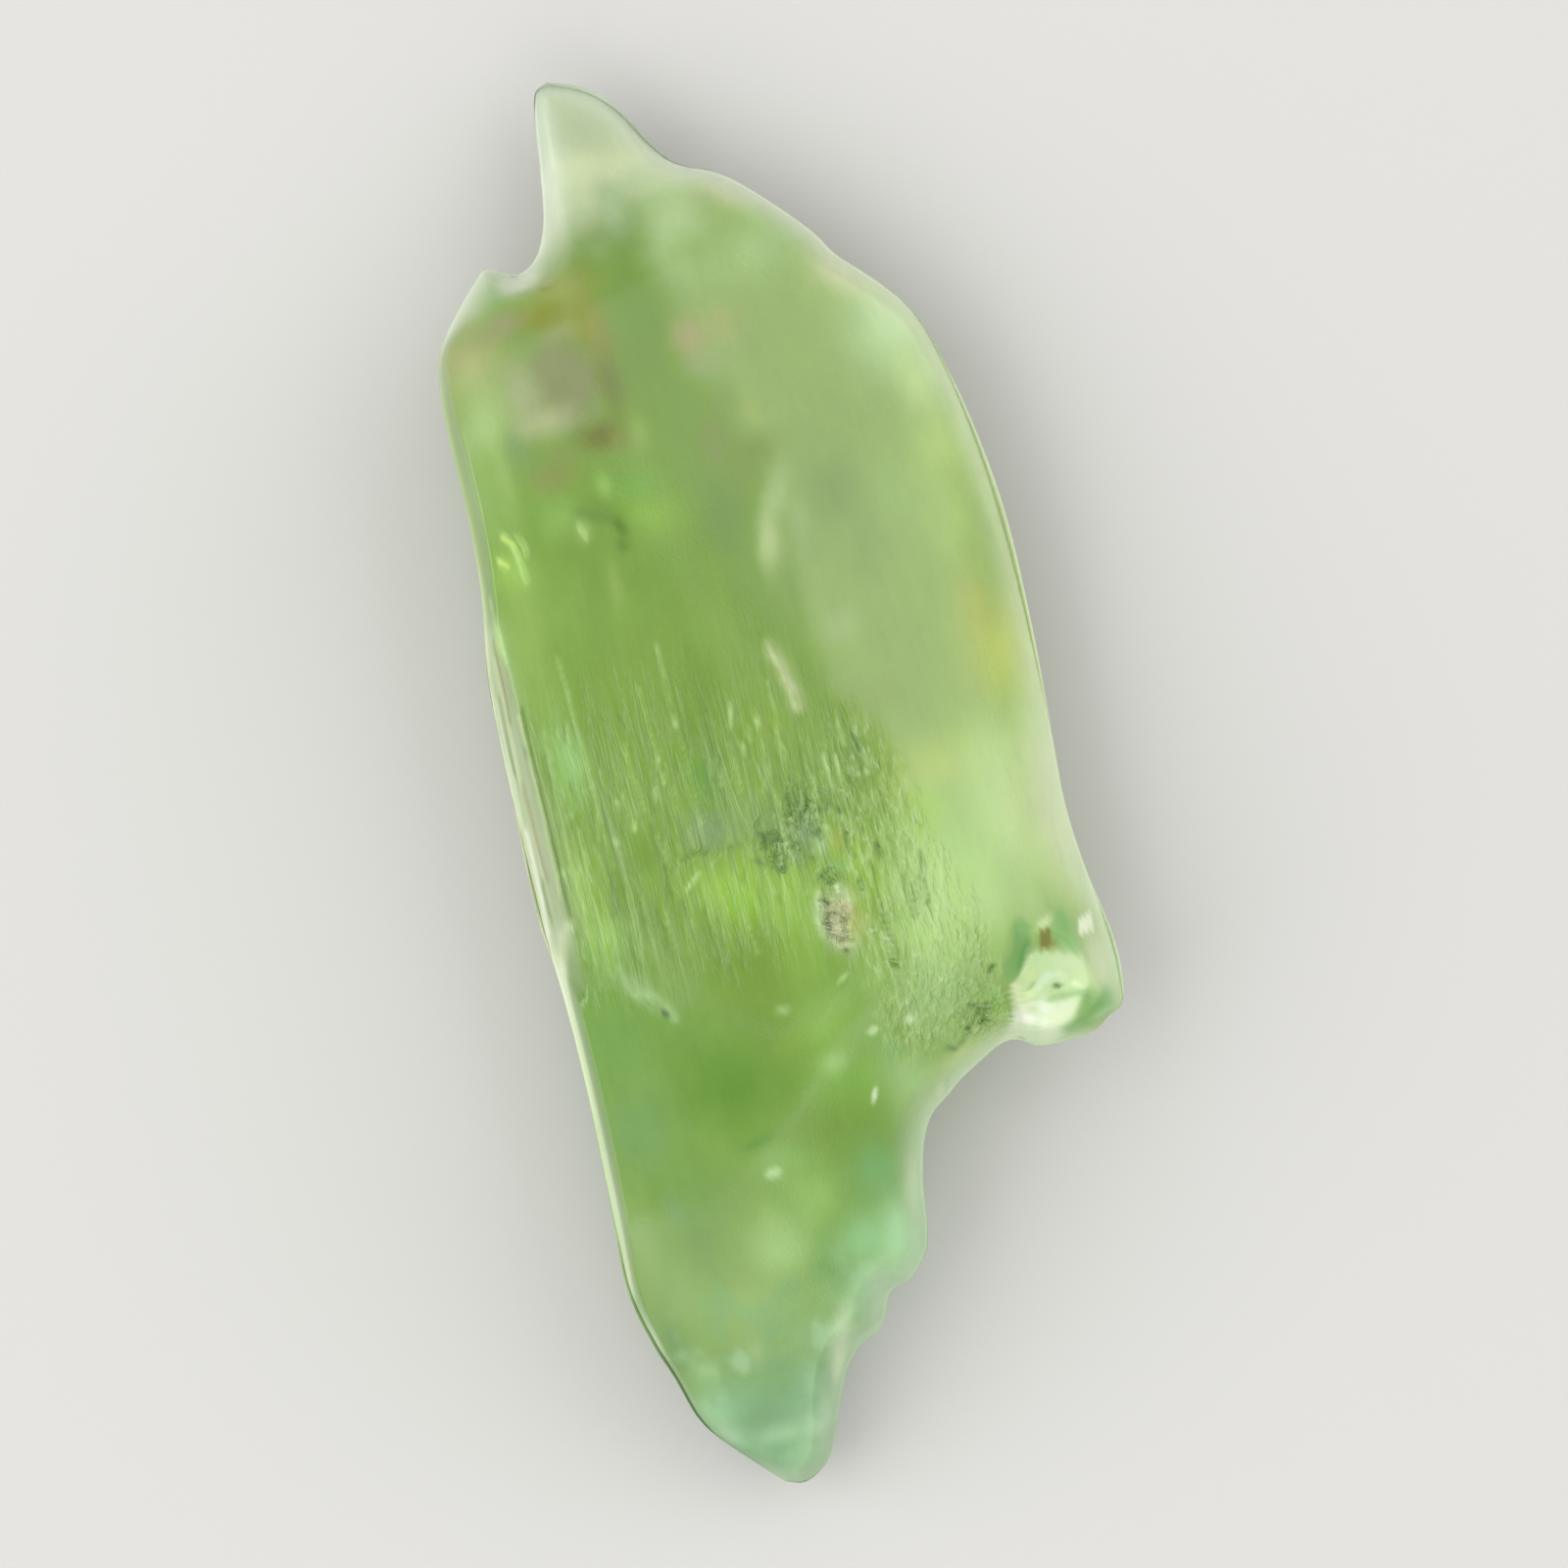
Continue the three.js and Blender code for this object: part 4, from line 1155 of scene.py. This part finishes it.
            (4.68, -8.7, 0.14, 0.2, "ecfcd6", 0.9, -15, 1.3, 0.3),
            (5.2, -8.65, 0.14, 0.14, "ccd7a8", 0.85, 0, 1.3, 0.2),
            (5.53, -8.65, 0.12, 0.26, "e6ffdc", 0.95, 10, 1.3, 0.4),
            (5.42, -9.1, 0.11, 0.14, "e4ffd6", 0.9, 0, 1.3, 0.3),
            (5.85, -9.08, 0.28, 0.2, "e2efbe", 0.9, 0, 1.3, 0.3),
            (5.15, -9.25, 0.08, 0.25, "bcd4a0", 0.7, -10, 1.2),
            (4.7, -9.2, 0.3, 0.15, "d8e2c0", 0.8, -15, 1.2, 0.2),
        ),
        Stroke(((5.75, -8.45), (6.3, -8.47), (6.85, -8.5)), 0.1, "a2c586", 0.85, 0, 0),
        *soft(
            (6.4, -8.7, 0.2, 0.1, "d0ecb6", 0.85, 15, 1.3, 0.2),
        ),
        Stroke(((6.5, -8.2), (6.6, -8.35), (6.68, -8.45)), 0.07, "dcf8bc", 0.95, 0, 0.2),
        Stroke(((6.08, -7.86), (6.2, -8.0)), 0.07, "e6f8c8", 0.95, 0, 0.2),
        Pane(((5.88, -8.22), (6.12, -8.22), (6.0, -7.95)), "74925c", 0.95, 0.04),
        *soft(
            (7.35, -7.9, 0.5, 0.9, "d2e4b2", 0.85, 0, 1.3), (7.2, -3.2, 0.7, 2.6, "cfe6aa", 0.8, 0, 1.4),
        ),
        Stroke(((7.7, -5.6), (7.85, -7.2), (7.85, -8.3)), 0.14, "cfdab8", 0.7, 0, 0.1),
        Stroke(((6.78, -8.65), (6.72, -9.0), (6.35, -9.35), (6.0, -9.5)), 0.2, "7ba45e", 0.9, 0, 0),
        Stroke(((7.35, -8.75), (7.3, -9.05)), 0.24, "7aae6a", 0.9, 0, 0),
        *soft(
            (7.05, -8.95, 0.3, 0.25, "6fa254", 0.85), (6.6, -9.45, 0.5, 0.18, "7eae5e", 0.8),
            (7.1, -9.25, 0.3, 0.1, "9fcf90", 0.7, 20), (4.25, -8.55, 0.16, 0.35, "8db064", 0.8, -8),
            (4.2, -7.95, 0.16, 0.3, "96c27a", 0.7, -8),
            # painted glints: the next four spots are small white highlights
            (1.72, -7.95, 0.16, 0.14, "d6ecb8", 0.9, 20, 1.5, 0.2),
            (0.66, -8, 0.16, 0.13, "c3dda0", 0.8, 0, 1.5, 0.2),
            (0.25, -9.8, 0.08, 0.22, "d6edbc", 0.95, -20, 1.5, 0.2),
            (-1.65, -6.85, 0.2, 0.13, "acca82", 0.7, -20, 1.3),
            (2.1, -10.3, 0.12, 0.3, "c6dc9c", 0.8, -15, 1.3),
        ),
        *MARKS,
    )

    def along(self, colours: tuple[tuple[float, str], ...], y: Array) -> Array:
        """The linear colour at each place along, blended straight between the stops.

        Args:
            colours: (place along, colour) stops.
            y: places along.

        Returns:
            Linear colour rows with an alpha of 1.
        """
        stops = np.array([linear(colour) for _, colour in colours])
        return np.stack([np.interp(y, [place for place, _ in colours], stops[:, k]) for k in range(4)], 1)

    def zones(self, x: Array, y: Array) -> Array:
        """Looks inside the rim: darker left of the ridge, then the patches, then the tail's wisps.

        Args:
            x: places across.
            y: places along.

        Returns:
            Linear colour rows with an alpha of 1.
        """
        wx = x + self.wander[0] * self.noise.layered(x * 1.1, y * 0.9)
        wy = y + self.wander[1] * self.noise.layered(x * 1.1 + 70, y * 0.9 + 30)
        share = smoothstep(wx - follow(self.ridge, wy), -0.7, 0.9)[:, None]
        colour = np.array(linear(self.left)) * (1 - share) + np.array(linear(self.right)) * share
        for patch in self.patches:
            wide = isinstance(patch, Patch) and min(patch.size) > self.steady_size
            w = patch.share(*((wx, wy) if wide else (x, y)))[:, None]
            colour = colour * (1 - w) + np.array(linear(patch.colour)) * w
        wisps = self.noise.layered(x * 0.9 + 15, y * 0.8 + 9) * smoothstep(y, -11.5, -15.5)
        for sign, tone in ((1, self.pale_wisp), (-1, self.dark_wisp)):
            w = self.wisp_strength * smoothstep(sign * wisps, 0.12, 0.55)[:, None]
            colour = colour + w * (np.array(linear(tone)) - colour)
        return colour

    def rimmed(self, colour: Array, x: Array, y: Array, depth: Array) -> Array:
        """Looks with the pale rim over them, partly a painted glow of light through the thin edges, which
        is full at the outline and falls as exp(-q ** 1.5).

        Args:
            colour: linear colour rows.
            x: places across.
            y: places along.
            depth: distance in from the outline; q is the depth in units of the rim's width.

        Returns:
            Linear colour rows.
        """
        left = self.form.leftness(x, y)
        width = self.left_rim * left + self.right_rim * (1 - left)
        shown = 1 - self.bare.depth * self.bare.share(x, y)
        w = self.rim_glow_strength * np.exp(-((depth / width) ** 1.5)) * shown
        left_rim, right_rim = self.along(self.left_rim_glow_colours, y), self.along(self.right_rim_glow_colours, y)
        rim = left_rim * left[:, None] + right_rim * (1 - left)[:, None]
        return colour + w[:, None] * (rim - colour)

    def gloss(self, x: Array, y: Array) -> Array:
        """What gloss and the clear depth add: the level glow, more where the front is tilted or rough;
        taken off the body colour, it paints those faces darker as painted shade.

        Args:
            x: places across.
            y: places along.

        Returns:
            Linear red, green and blue rows.
        """
        above = smoothstep(x - follow(self.brow, y), -0.7, 0.9)
        below = smoothstep(follow(self.knee, x) - y, -0.4, 0.4)
        tilted = np.maximum(above, self.knee_tilt * below)[:, None]
        rough = np.clip(self.form.striated(x, y) + self.form.etched(x, y), 0, 1)[:, None]
        return self.glow + tilted * self.tilted_glow + rough * self.rough_glow

    def light(self, x: Array, y: Array, depth: Array) -> Array:
        """How much light comes back: 1, more where it is clouded, and less from the sloping sides.

        Args:
            x: places across.
            y: places along.
            depth: distance in from the outline.

        Returns:
            Factors, shaped as x.
        """
        left = self.form.leftness(x, y)
        right_side = np.exp(-((depth / self.right_shade_reach) ** 2)) * (1 - left) * smoothstep(y, -12, -9)
        left_side = np.exp(-((depth / self.left_shade_reach) ** 2)) * left
        light = 1 + self.cloud_light * self.cloud(x, y, depth)
        return light - self.right_shade * right_side - self.left_shade * left_side

    def body(self, x: Array, y: Array, depth: Array) -> Array:
        """Body colour: what is left of the look without the gloss, over the gain and the light: painted
        light on the shaded sloping sides, painted shade on the glossier tilted and rough faces.

        It is kept above the darkest, and below the palest by b / (1 + (b / palest) ** 8) ** (1 / 8).

        Args:
            x: places across.
            y: places along.
            depth: distance in from the outline.

        Returns:
            Linear colour rows with an alpha of 1.
        """
        colour = self.rimmed(self.zones(x, y), x, y, depth)
        body = (colour[:, :3] - self.gloss(x, y)) / (self.gain * self.light(x, y, depth)[:, None])
        body = np.maximum(body, self.darkest)
        colour[:, :3] = body / (1 + (body / self.palest) ** 8) ** (1 / 8)
        return colour

    def cloud(self, x: Array, y: Array, depth: Array) -> Array:
        """How clouded each place is: its veils, and the rim, which scatters light.

        Args:
            x: places across.
            y: places along.
            depth: distance in from the outline.

        Returns:
            Shares, shaped as x.
        """
        veils = reduce(np.maximum, (p.cloud * p.share(x, y) for p in self.patches if p.cloud))
        return np.maximum(veils, self.rim_cloud * np.exp(-((depth / self.rim_cloud_reach) ** 2)))

    def marks(self, x: Array, y: Array, depth: Array) -> Array:
        """How striated, etched, clouded and crusted each place is.

        Args:
            x: places across.
            y: places along.
            depth: distance in from the outline.

        Returns:
            Rows of striated, etched, clouded and crusted shares.
        """
        crusted = reduce(np.maximum, (crust.share(x, y) for crust in self.crusts))
        shares = (self.form.striated(x, y), self.form.etched(x, y), self.cloud(x, y, depth), crusted)
        return np.stack(shares, 1)


# ---- finishes ----------------------------------------------------------------------------------------
@dataclass(frozen=True)
class Grain:
    """A pattern of random cells, drawn out along the crystal."""

    width: float  # of a cell, in millimetres, as its length
    length: float
    detail: float  # how many finer layers it has
    roughness: float = 0.5  # how strong they are
    bent: float = 0.0  # by how many cells it wanders


@dataclass(frozen=True)
class HiddeniteFinish:
    """Natural spodumene coloured by chromium: clear to faintly milky, satin where it is etched.

    A clear body with the refractive index of spodumene shows its thin edges pale and its thick middle
    deep green, because the colour is absorption. Etched and striated faces scatter the gloss.
    """

    name: str = "hiddenite_spodumene"
    ior: float = 1.66
    roughness: float = 0.34
    clearness: float = 0.42
    cloud_scatter: float = 0.5  # how much clearness a cloud takes away
    cloud_roughness: float = 0.25
    absorbed: str = "c2e070"
    milky: str = "cbe69a"  # growth lines and etch marks, which scatter light
    deep: str = "4f7a22"  # furrows, which show the body's full colour
    density: float = 110.0  # per metre
    relief: float = 0.07  # millimetres between the milky marks and the furrows
    relief_strength: float = 0.8
    gloss_range: tuple[float, float] = (-0.04, 0.06)  # how the mottle changes the roughness

    # the striated face: fine streaks and bands along the crystal, and milky or dark hairlines between them
    streaks: Grain = Grain(0.238, 4, 3, 0.65, 0.9)
    bands: Grain = Grain(0.77, 8.33, 2)
    growth: Grain = Grain(0.667, 7.69, 2, 0.5, 0.4)
    dashes: Grain = Grain(0.3125, 1.667, 2, 0.5, 0.5)
    grooves: Grain = Grain(0.435, 3.33, 2)
    # the etched ground: specks, rarer flecks and short cuts
    specks: Grain = Grain(0.1786, 0.667, 3, 0.55)
    flecks: Grain = Grain(0.1786, 0.385, 1)
    cuts: Grain = Grain(0.417, 2, 1, 0.55)
    # the crusts in the pits: flakes, with pale curls and dark squiggles
    flakes: Grain = Grain(0.2, 0.286, 2, 0.65)
    curls: Grain = Grain(0.227, 0.4545, 1)
    squiggles: Grain = Grain(0.278, 0.526, 2, 0.6)
    # everywhere: uneven colour and gloss, and the frosting of natural faces
    mottle: Grain = Grain(2.22, 3.33, 3, 0.6)
    grain: Grain = Grain(0.625, 1.11, 3, 0.65)
    frost: Grain = Grain(0.0909, 0.111, 0)

    def material(self) -> bpy.types.Material:
        """Builds the material: the tint and the marks from the mesh, and the patterns where the marks say.

        Returns:
            The crystal's material.
        """
        material = bpy.data.materials.new(self.name)
        material.use_nodes = True
        tree = material.node_tree
        tree.nodes.clear()
        place = add_node(tree, "TexCoord").outputs["Object"]
        tint = add_node(tree, "VertexColor", {"layer_name": "tint"}).outputs["Color"]
        marks = add_node(tree, "VertexColor", {"layer_name": "marks"})
        split = add_node(tree, "SeparateColor", inputs={"Color": marks.outputs["Color"]})
        striated, etched, cloud = split.outputs["Red"], split.outputs["Green"], split.outputs["Blue"]
        crusted = marks.outputs["Alpha"]

        def pattern(cells: Grain) -> bpy.types.NodeSocket:
            """Noise on the object's coordinates, its cells as high as they are wide.

            Args:
                cells: the pattern's grain.

            Returns:
                Values from 0 to 1, mostly between 0.3 and 0.7.
            """
            scale = tuple(1 / (MM * size) for size in (cells.width, cells.length, cells.width))
            mapped = add_node(tree, "Mapping", inputs={"Vector": place, "Scale": scale})
            inputs = {"Vector": mapped.outputs[0], "Scale": 1.0, "Detail": cells.detail}
            inputs |= {"Roughness": cells.roughness, "Distortion": cells.bent}
            return add_node(tree, "TexNoise", inputs=inputs).outputs["Fac"]

        def spread(
            value: bpy.types.NodeSocket, low: float, high: float, start: float = 0.3, end: float = 0.7,
        ) -> bpy.types.NodeSocket:
            """A value carried straight from start and end to low and high, and kept between them."""
            inputs = {"Value": value, "From Min": start, "From Max": end, "To Min": low, "To Max": high}
            return add_node(tree, "MapRange", inputs=inputs).outputs[0]

        def lines(cells: Grain, width: float) -> bpy.types.NodeSocket:
            """Thin lines where a pattern crosses its middle, 0.5.

            Args:
                cells: the pattern's grain.
                width: how far from its middle a line ends.

            Returns:
                1 on the lines, falling straight to 0 beside them.
            """
            offset = add_node(tree, "Math", {"operation": "SUBTRACT"}, {0: pattern(cells), 1: 0.5})
            away = add_node(tree, "Math", {"operation": "ABSOLUTE"}, {0: offset.outputs[0]})
            return spread(away.outputs[0], 1.0, 0.0, 0.0, width)

        def weighed(*parts: tuple[object, object], base: object = 0.0) -> bpy.types.NodeSocket:
            """A base, and on it the sum of value times weight over the parts.

            Args:
                parts: (value, weight) pairs, each a number or a socket.
                base: a number or a socket.

            Returns:
                The sum.
            """
            for value, weight in parts:
                inputs = {0: value, 1: weight, 2: base}
                base = add_node(tree, "Math", {"operation": "MULTIPLY_ADD"}, inputs).outputs[0]
            return base

        # what goes milky: hairlines and streaks, specks, and flakes with curls
        streaks, specks, mottle = pattern(self.streaks), pattern(self.specks), pattern(self.mottle)
        pale_streaks, pale_flakes = spread(streaks, -0.3, 0.18), spread(pattern(self.flakes), -0.5, 0.4)
        hairlines = weighed(
            (lines(self.growth, 0.02), 0.34), (lines(self.dashes, 0.03), 0.2), base=pale_streaks,
        )
        rare = spread(pattern(self.flecks), 0.0, 0.4, 0.57)
        speckled = weighed((spread(specks, -0.24, 0.44), 1.0), base=rare)
        flaky = weighed((lines(self.curls, 0.03), 0.4), base=pale_flakes)
        pale = weighed((hairlines, striated), (speckled, etched), (flaky, crusted))

        # what goes deep: furrows and bands, cuts between the specks, and squiggles
        dark_streaks, dark_bands = spread(streaks, 0.3, -0.22), spread(pattern(self.bands), -0.25, 0.3)
        furrows = weighed((lines(self.grooves, 0.04), 0.3), (dark_streaks, 1.0), base=dark_bands)
        gouged = weighed((lines(self.cuts, 0.025), 0.22), base=spread(specks, 0.1, -0.28))
        cracked = weighed((lines(self.squiggles, 0.035), 0.5))
        deep = weighed((furrows, striated), (gouged, etched), (cracked, crusted))

        settings = {"data_type": "RGBA", "clamp_factor": True}
        inputs = {"Factor": deep, 6: tint, 7: linear(self.deep)}
        deepened = add_node(tree, "Mix", settings, inputs).outputs[2]
        inputs = {"Factor": pale, 6: deepened, 7: linear(self.milky)}
        body = add_node(tree, "Mix", settings, inputs).outputs[2]
        uneven, grainy = spread(mottle, 0.95, 1.05), spread(pattern(self.grain), -0.03, 0.03)
        shade = weighed((spread(streaks, -0.02, 0.02), 1.0), (grainy, 1.0), base=uneven)
        scaled = add_node(tree, "VectorMath", {"operation": "SCALE"}, {0: body, "Scale": shade}).outputs[0]

        height = weighed((deep, -1.0), (pattern(self.frost), 0.1), base=pale)
        inputs = {"Height": height, "Distance": self.relief * MM, "Strength": self.relief_strength}
        normal = add_node(tree, "Bump", inputs=inputs).outputs[0]
        satin = spread(mottle, *(self.roughness + change for change in self.gloss_range))
        roughness = weighed((cloud, self.cloud_roughness), base=satin)
        clear = weighed((cloud, -self.cloud_scatter), base=self.clearness)

        inputs = {"Base Color": scaled, "Roughness": roughness, "IOR": self.ior}
        inputs |= {"Transmission Weight": clear, "Normal": normal}
        shader = add_node(tree, "BsdfPrincipled", inputs=inputs)
        inputs = {"Color": linear(self.absorbed), "Density": self.density}
        volume = add_node(tree, "VolumeAbsorption", inputs=inputs)
        output = add_node(tree, "OutputMaterial")
        tree.links.new(shader.outputs[0], output.inputs["Surface"])
        tree.links.new(volume.outputs[0], output.inputs["Volume"])
        return material


@dataclass(frozen=True)
class PaperFinish:
    """Matt off-white card under the crystal: soft, with no gloss, so it lights the crystal from below."""

    name: str = "matt_card"
    colour: str = "bdbcb9"
    roughness: float = 0.85

    def material(self) -> bpy.types.Material:
        """Builds the material.

        Returns:
            The floor's material.
        """
        material = bpy.data.materials.new(self.name)
        material.use_nodes = True
        shader = material.node_tree.nodes["Principled BSDF"]
        shader.inputs["Base Color"].default_value = linear(self.colour)
        shader.inputs["Roughness"].default_value = self.roughness
        return material


# ---- the crystal -------------------------------------------------------------------------------------
@dataclass
class HiddeniteCrystal:
    """The whole crystal as one closed mesh with its colours."""

    form: CrystalForm = field(default_factory=CrystalForm)
    finish: HiddeniteFinish = field(default_factory=HiddeniteFinish)

    def rings(self) -> tuple[Array, Array, Array]:
        """Places of the rings' points.

        On each section x = left + (right - left) * share, and y = level - slant * x. The sections leave
        equal runs of the outline between them, so they are closer where they cut it at a low angle. The
        points are closer towards the rim: a little on the front, and as a cosine on the back.

        Returns:
            x and y as (rows, ring) arrays, and which columns are on the front.
        """
        form = self.form
        left, right = smooth_curve(form.left_edge), smooth_curve(form.right_edge)
        left_levels = np.maximum.accumulate(form.level_of(left[:, 0], left[:, 1]))
        right_levels = np.maximum.accumulate(form.level_of(right[:, 0], right[:, 1]))
        fineness, longest = 20, 5  # fine steps for each section, and the most that one may count for
        fine = np.linspace(left_levels[0], left_levels[-1], fineness * form.rows)

        def travel(edge: Array, levels: Array) -> Array:
            """How far the edge runs in each fine step of level."""
            ends = np.stack([np.interp(fine, levels, edge[:, k]) for k in (0, 1)])
            return np.linalg.norm(np.diff(ends), axis=0)

        steps = np.hypot(travel(left, left_levels), travel(right, right_levels))
        steps = np.minimum(steps, longest * (fine[1] - fine[0]))
        run = np.concatenate([[0.0], np.cumsum(steps)])
        levels = np.interp(np.linspace(0, run[-1], form.rows + 2)[1:-1], run, fine)
        xl = np.interp(levels, left_levels, left[:, 0])[:, None]
        xr = np.interp(levels, right_levels, right[:, 0])[:, None]
        forth = np.arange(form.front_steps) / form.front_steps
        back = np.arange(form.back_steps) / form.back_steps
        forth = form.evenness * forth + (1 - form.evenness) * (1 - np.cos(np.pi * forth)) / 2
        share = np.concatenate([forth, (1 + np.cos(np.pi * back)) / 2])
        x = xl + (xr - xl) * share
        y = levels[:, None] - form.slant(levels)[:, None] * x
        front = np.arange(len(share)) < form.front_steps
        return x, y, front

    def mesh(self) -> bpy.types.Mesh:
        """Builds the closed surface: a point at each tip, and rings between them joined by quads.

        Returns:
            The mesh, in metres, with its colour attributes.
        """
        form = self.form
        x, y, front = self.rings()
        ring = x.shape[1]
        tips = np.array([form.left_edge[0], form.left_edge[-1]], float)
        px = np.concatenate([tips[:1, 0], x.ravel(), tips[1:, 0]])
        py = np.concatenate([tips[:1, 1], y.ravel(), tips[1:, 1]])
        outline = np.vstack([smooth_curve(form.left_edge), smooth_curve(form.right_edge)[::-1]])
        depth = distance_to(outline, px, py)
        on_rim = np.zeros(x.shape, bool)
        on_rim[:, [0, form.front_steps]] = True
        on_rim = np.concatenate([[True], on_rim.ravel(), [True]])
        depth[on_rim] = 0.0
        is_front = np.concatenate([[True], np.broadcast_to(front, x.shape).ravel(), [True]])
        z = np.where(is_front, form.front(px, py, depth), form.back(px, py, depth))
        z = np.where(on_rim, form.rim(py), z)
        points = np.stack([px, py, z], 1)
        low, high = points.min(0), points.max(0)
        points[:, :2] -= ((low + high) / 2)[:2]

        rows = np.arange(form.rows - 1)[:, None]
        column = np.arange(ring)[None, :]
        following = (column + 1) % ring
        a, b = 1 + rows * ring + column, 1 + rows * ring + following
        quads = np.stack([a, b, b + ring, a + ring], -1).reshape(-1, 4)
        around, after = np.arange(ring), (np.arange(ring) + 1) % ring
        start = np.stack([np.zeros(ring, int), 1 + after, 1 + around], 1)
        base = 1 + (form.rows - 1) * ring
        end = np.stack([np.full(ring, len(points) - 1), base + around, base + after], 1)
        faces = quads.tolist() + start.tolist() + end.tolist()

        mesh = bpy.data.meshes.new(CRYSTAL_NODE + "_surface")
        mesh.from_pydata((points * MM).tolist(), [], faces)
        mesh.polygons.foreach_set("use_smooth", np.ones(len(mesh.polygons), bool))
        colour = CrystalColour(form)
        for name, values in (("tint", colour.body(px, py, depth)), ("marks", colour.marks(px, py, depth))):
            attribute = mesh.color_attributes.new(name, "FLOAT_COLOR", "POINT")
            attribute.data.foreach_set("color", values.astype(np.float32).ravel())
        mesh.update()
        return mesh

    def build(self) -> bpy.types.Object:
        """Makes the crystal's object in place of its solid.

        Returns:
            The crystal.
        """
        crystal = bpy.data.objects.new("hiddenite_surface", self.mesh())
        bpy.context.scene.collection.objects.link(crystal)
        crystal.data.materials.append(self.finish.material())
        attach(crystal, "root")
        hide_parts(CRYSTAL_NODE)
        return crystal


# ---- the studio --------------------------------------------------------------------------------------
@dataclass
class Studio:
    """Pale floor, soft light and the camera above the crystal."""

    lens: float = 120.0
    sensor: float = 36.0
    view_width: float = 44.8  # what the camera sees across, at the crystal's rim
    aim: tuple[float, float, float] = (-0.12, -0.75, 3.2)
    lean: float = 14.0  # degrees that the crystal leans to the left in the view
    floor_half: float = 0.6  # metres, as the panels' sizes and places are
    floor_drop: float = 0.00002
    sky: float = 0.45
    panel_size: float = 0.6
    panels: tuple[tuple[str, tuple[float, float, float], float], ...] = (  # name, place and power in watts
        ("left_panel", (-0.42, 0.08, 0.34), 2.8),
        ("right_panel", (0.42, 0.02, 0.34), 1.7),
        ("upper_panel", (0.05, 0.42, 0.36), 1.0),
        ("lower_panel", (-0.05, -0.44, 0.34), 1.6),
    )

    def floor(self) -> bpy.types.Object:
        """A large flat floor just under the face that the crystal rests on.

        Returns:
            The floor.
        """
        half, level = self.floor_half, -self.floor_drop
        corners = [(-half, -half, level), (half, -half, level), (half, half, level), (-half, half, level)]
        mesh = bpy.data.meshes.new("floor")
        mesh.from_pydata(corners, [], [(0, 1, 2, 3)])
        floor = bpy.data.objects.new("floor", mesh)
        bpy.context.scene.collection.objects.link(floor)
        mesh.materials.append(PaperFinish().material())
        return floor

    def light(self, name: str, place: tuple[float, float, float], power: float) -> bpy.types.Object:
        """A square soft light that faces the crystal.

        Args:
            name: the light's name.
            place: where it stands, in metres.
            power: in watts.

        Returns:
            The light.
        """
        lamp = bpy.data.lights.new(name, "AREA")
        lamp.size, lamp.energy = self.panel_size, power
        light = bpy.data.objects.new(name, lamp)
        light.location = place
        light.rotation_euler = (-Vector(place)).to_track_quat("-Z", "Y").to_euler()
        bpy.context.scene.collection.objects.link(light)
        return light

    def world(self) -> None:
        """Even white light from all round."""
        world = bpy.data.worlds.new("soft_white")
        world.use_nodes = True
        background = world.node_tree.nodes["Background"]
        background.inputs["Color"].default_value = (1, 1, 1, 1)
        background.inputs["Strength"].default_value = self.sky
        bpy.context.scene.world = world

    def camera(self) -> bpy.types.Object:
        """The camera, straight above, turned so that the crystal leans.

        Returns:
            The camera.
        """
        data = bpy.data.cameras.new("camera")
        data.lens, data.sensor_width = self.lens, self.sensor
        data.clip_start, data.clip_end = 0.005, 10.0
        camera = bpy.data.objects.new("camera", data)
        x, y, z = self.aim
        camera.location = (x * MM, y * MM, (z + self.view_width * self.lens / self.sensor) * MM)
        camera.rotation_euler = (0, 0, -math.radians(self.lean))
        bpy.context.scene.collection.objects.link(camera)
        bpy.context.scene.camera = camera
        return camera

    def build(self) -> None:
        """Sets up the whole studio."""
        self.floor()
        self.world()
        for name, place, power in self.panels:
            self.light(name, place, power)
        self.camera()
        bpy.context.scene.view_settings.view_transform = "Standard"


def main() -> None:
    """Builds the crystal and the studio."""
    logging.basicConfig(level=logging.INFO, format="%(message)s")
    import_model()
    crystal = HiddeniteCrystal().build()
    LOG.info("crystal: %d faces", len(crystal.data.polygons))
    Studio().build()


if __name__ == "__main__":
    main()
